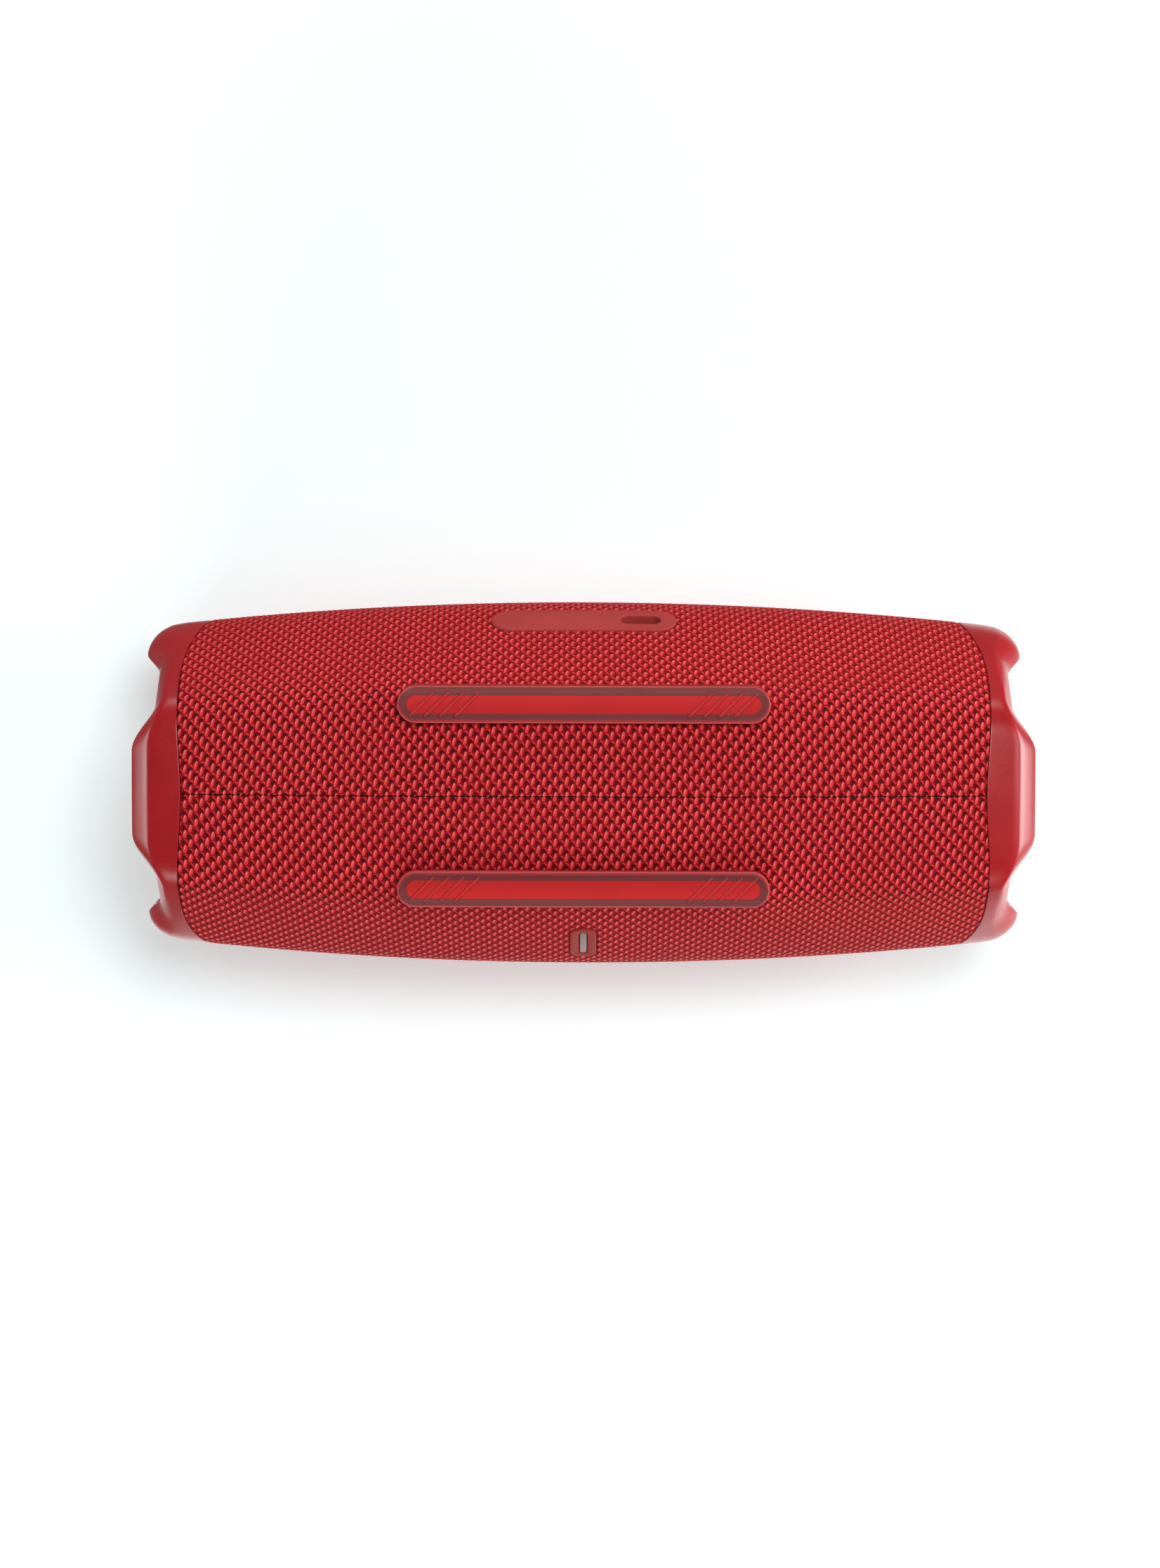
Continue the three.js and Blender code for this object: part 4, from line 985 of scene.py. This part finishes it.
def make_radiator(name, side):
    def place(x, y, z):
        return np.stack([side * x, y, CENTRE_Z + z], -1)

    body = f"radiator_{name}_plate"
    plate = turned(f"radiator_plate_{name}", PLATE_PROFILE, place, steps=120, sharp=40)
    plate.data.materials.append(SLOTS["red_plastic"])
    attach(plate, body)
    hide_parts(f"radiator_cone_{name}")

    middle, reach = (ROLL_INNER + ROLL_OUTER) / 2, (ROLL_OUTER - ROLL_INNER) / 2
    turns = np.linspace(0, math.pi, 13)
    top = ROLL_X + ROLL_THICK
    crest = [[top + (reach + 0.4) * math.sin(t), middle - reach * math.cos(t)] for t in turns]
    under = [[ROLL_X + reach * math.sin(t), middle - (reach - 0.5) * math.cos(t)] for t in turns[::-1]]
    hub_edge, frame_edge = ROLL_INNER - 1.4, ROLL_OUTER + 1.3
    profile = np.array(
        [[top, hub_edge], *crest, [top, frame_edge], [ROLL_X, frame_edge], *under, [ROLL_X, hub_edge]]
    )
    along, radius = profile.T
    count = len(profile)
    sectors = []
    width = 2 * math.pi / SECTORS
    for i in range(SECTORS):
        angles = i * width + np.linspace(0, width, 13)
        rows = [place(along, radius * math.cos(a), radius * math.sin(a)) for a in angles]
        faces = []
        for low in range(0, (len(rows) - 1) * count, count):
            for j in range(count):
                k = (j + 1) % count
                faces.append([low + j, low + k, low + count + k, low + count + j])
        sector = metres(f"sector_{i}", np.concatenate(rows), faces)
        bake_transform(sector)
        sectors.append(sector)
    with bpy.context.temp_override(active_object=sectors[0], selected_editable_objects=sectors):
        bpy.ops.object.join()
    surround = sectors[0]
    surround.name = f"radiator_roll_{name}"
    work = bmesh.new()
    work.from_mesh(surround.data)
    bmesh.ops.remove_doubles(work, verts=work.verts, dist=1e-6)
    bmesh.ops.recalc_face_normals(work, faces=work.faces)
    work.to_mesh(surround.data)
    work.free()
    surround.data.materials.append(SLOTS["black_rubber"])
    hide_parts(f"radiator_surround_{name}")


# ---------- camera, stage, lights ----------

OBJECT_CENTRE = Vector((0, 0, CENTRE_Z / 1000))
VIEW_DISTANCE = 1.19
VIEW_TILT = math.radians(4.35)
VIEW_ROLL = math.radians(0.15)
LENS = 104.8
AIM_SHIFT = (-0.000915, -0.000366)  # how far the picture's middle is right of and above the object's

STAGE_HALF = 3.0
STAGE_SHEETS = {  # height, way it faces, colour, glow
    "backdrop": (cad_high.z + 0.0006, -1, (240, 255, 255), 0.215),
    "floor": (-0.0004, 1, (222, 222, 222), 0.24),
}
SURROUND_GLOW = 0.42

WORLD_STRENGTH = 0.2
LIGHT_PANELS = (  # name, place, width and height, power; each faces the object
    ("key", (-0.16, 0.34, -1.15), (0.4, 0.4), 7.4),
    ("side_right", (-0.75, 0.1, -0.5), (0.4, 0.4), 2),
    ("fill_front", (0.1, -1.2, -0.42), (1.0, 0.4), 9),
    ("end_right", (-1.6, 0.0, 0.2), (1.0, 0.38), 24),
    ("end_left", (1.6, 0.0, 0.2), (1.0, 0.38), 10),
    ("rear", (0.0, 1.2, -0.11), (1.0, 0.2), 7),
    ("above", (-0.3, -0.4, 1.3), (2.0, 2.0), 18),
)


def make_camera():
    back = Vector((0, math.sin(VIEW_TILT), -math.cos(VIEW_TILT)))
    up = Vector((0, math.cos(VIEW_TILT), math.sin(VIEW_TILT)))
    right = Vector((-1, 0, 0))
    data = bpy.data.cameras.new("view")
    data.lens = LENS
    data.sensor_width = 36
    data.clip_start, data.clip_end = 0.05, 20
    camera = bpy.data.objects.new("view", data)
    bpy.context.scene.collection.objects.link(camera)
    axes = Matrix((right, up, back)).transposed().to_4x4()
    place = OBJECT_CENTRE + back * VIEW_DISTANCE + right * AIM_SHIFT[0] + up * AIM_SHIFT[1]
    camera.matrix_world = Matrix.Translation(place) @ axes @ Matrix.Rotation(VIEW_ROLL, 4, "Z")
    bpy.context.scene.camera = camera


def one_sided(name, color, glow):
    """Paper seen from its front only, with some light of its own so that its shadows stay pale."""
    shader = Shader(name)
    grain = shader.noise(400, 3.0)
    shader.set(Base_Color=shader.mix(grain, [c * 0.995 for c in color], color), Roughness=grain * 0.1 + 0.85)
    shader.set(Specular_IOR_Level=0.0, Emission_Color=(1, 1, 1, 1), Emission_Strength=glow)
    tree = shader.tree
    behind = tree.nodes.new("ShaderNodeNewGeometry").outputs["Backfacing"]
    clear = tree.nodes.new("ShaderNodeBsdfTransparent")
    mixer = tree.nodes.new("ShaderNodeMixShader")
    tree.links.new(behind, mixer.inputs[0])
    tree.links.new(shader.surface.outputs[0], mixer.inputs[1])
    tree.links.new(clear.outputs[0], mixer.inputs[2])
    tree.links.new(mixer.outputs[0], tree.nodes["Material Output"].inputs["Surface"])
    return shader.material


def hang(name, mesh):
    """Adds a part of the stage that only the camera sees."""
    sheet = bpy.data.objects.new(name, mesh)
    bpy.context.scene.collection.objects.link(sheet)
    sheet.visible_diffuse = sheet.visible_glossy = sheet.visible_transmission = False
    sheet.visible_shadow = False


def make_stage():
    half = STAGE_HALF
    for name, (z, facing, color, glow) in STAGE_SHEETS.items():
        corners = [(-half, -half, z), (half, -half, z), (half, half, z), (-half, half, z)]
        mesh = bpy.data.meshes.new(name)
        mesh.from_pydata(corners, [], [(0, 1, 2, 3)[::facing]])
        mesh.materials.append(one_sided(name, color, glow))
        hang(name, mesh)
    work = bmesh.new()
    bmesh.ops.create_uvsphere(work, u_segments=48, v_segments=24, radius=half * 2)
    bmesh.ops.reverse_faces(work, faces=work.faces)
    mesh = bpy.data.meshes.new("surround")
    work.to_mesh(mesh)
    work.free()
    mesh.materials.append(one_sided("surround", (0, 0, 0), SURROUND_GLOW))
    hang("surround", mesh)


def make_lights():
    world = bpy.data.worlds.new("studio")
    bpy.context.scene.world = world
    world.use_nodes = True
    background = world.node_tree.nodes["Background"]
    background.inputs["Color"].default_value = (1, 1, 1, 1)
    background.inputs["Strength"].default_value = WORLD_STRENGTH
    for name, place, size, power in LIGHT_PANELS:
        data = bpy.data.lights.new(name, "AREA")
        data.shape = "RECTANGLE"
        data.size, data.size_y = size
        data.energy = power
        panel = bpy.data.objects.new(name, data)
        bpy.context.scene.collection.objects.link(panel)
        turn = (OBJECT_CENTRE - Vector(place)).to_track_quat("-Z", "Y").to_matrix().to_4x4()
        panel.matrix_world = Matrix.Translation(place) @ turn
        panel.visible_camera = False


bpy.context.scene.view_settings.view_transform = "Standard"
make_camera()
make_sleeve()
foot_pair = foot_materials()
for foot, side in (("front", -1), ("rear", 1)):
    make_foot(foot, side * FOOT_Y, foot_pair)
for end, side in (("left", -1), ("right", 1)):
    make_bumper(end, side)
    make_radiator(end, side)
make_port()
make_light()
make_buttons()
paint_nodes()
make_stage()
make_lights()
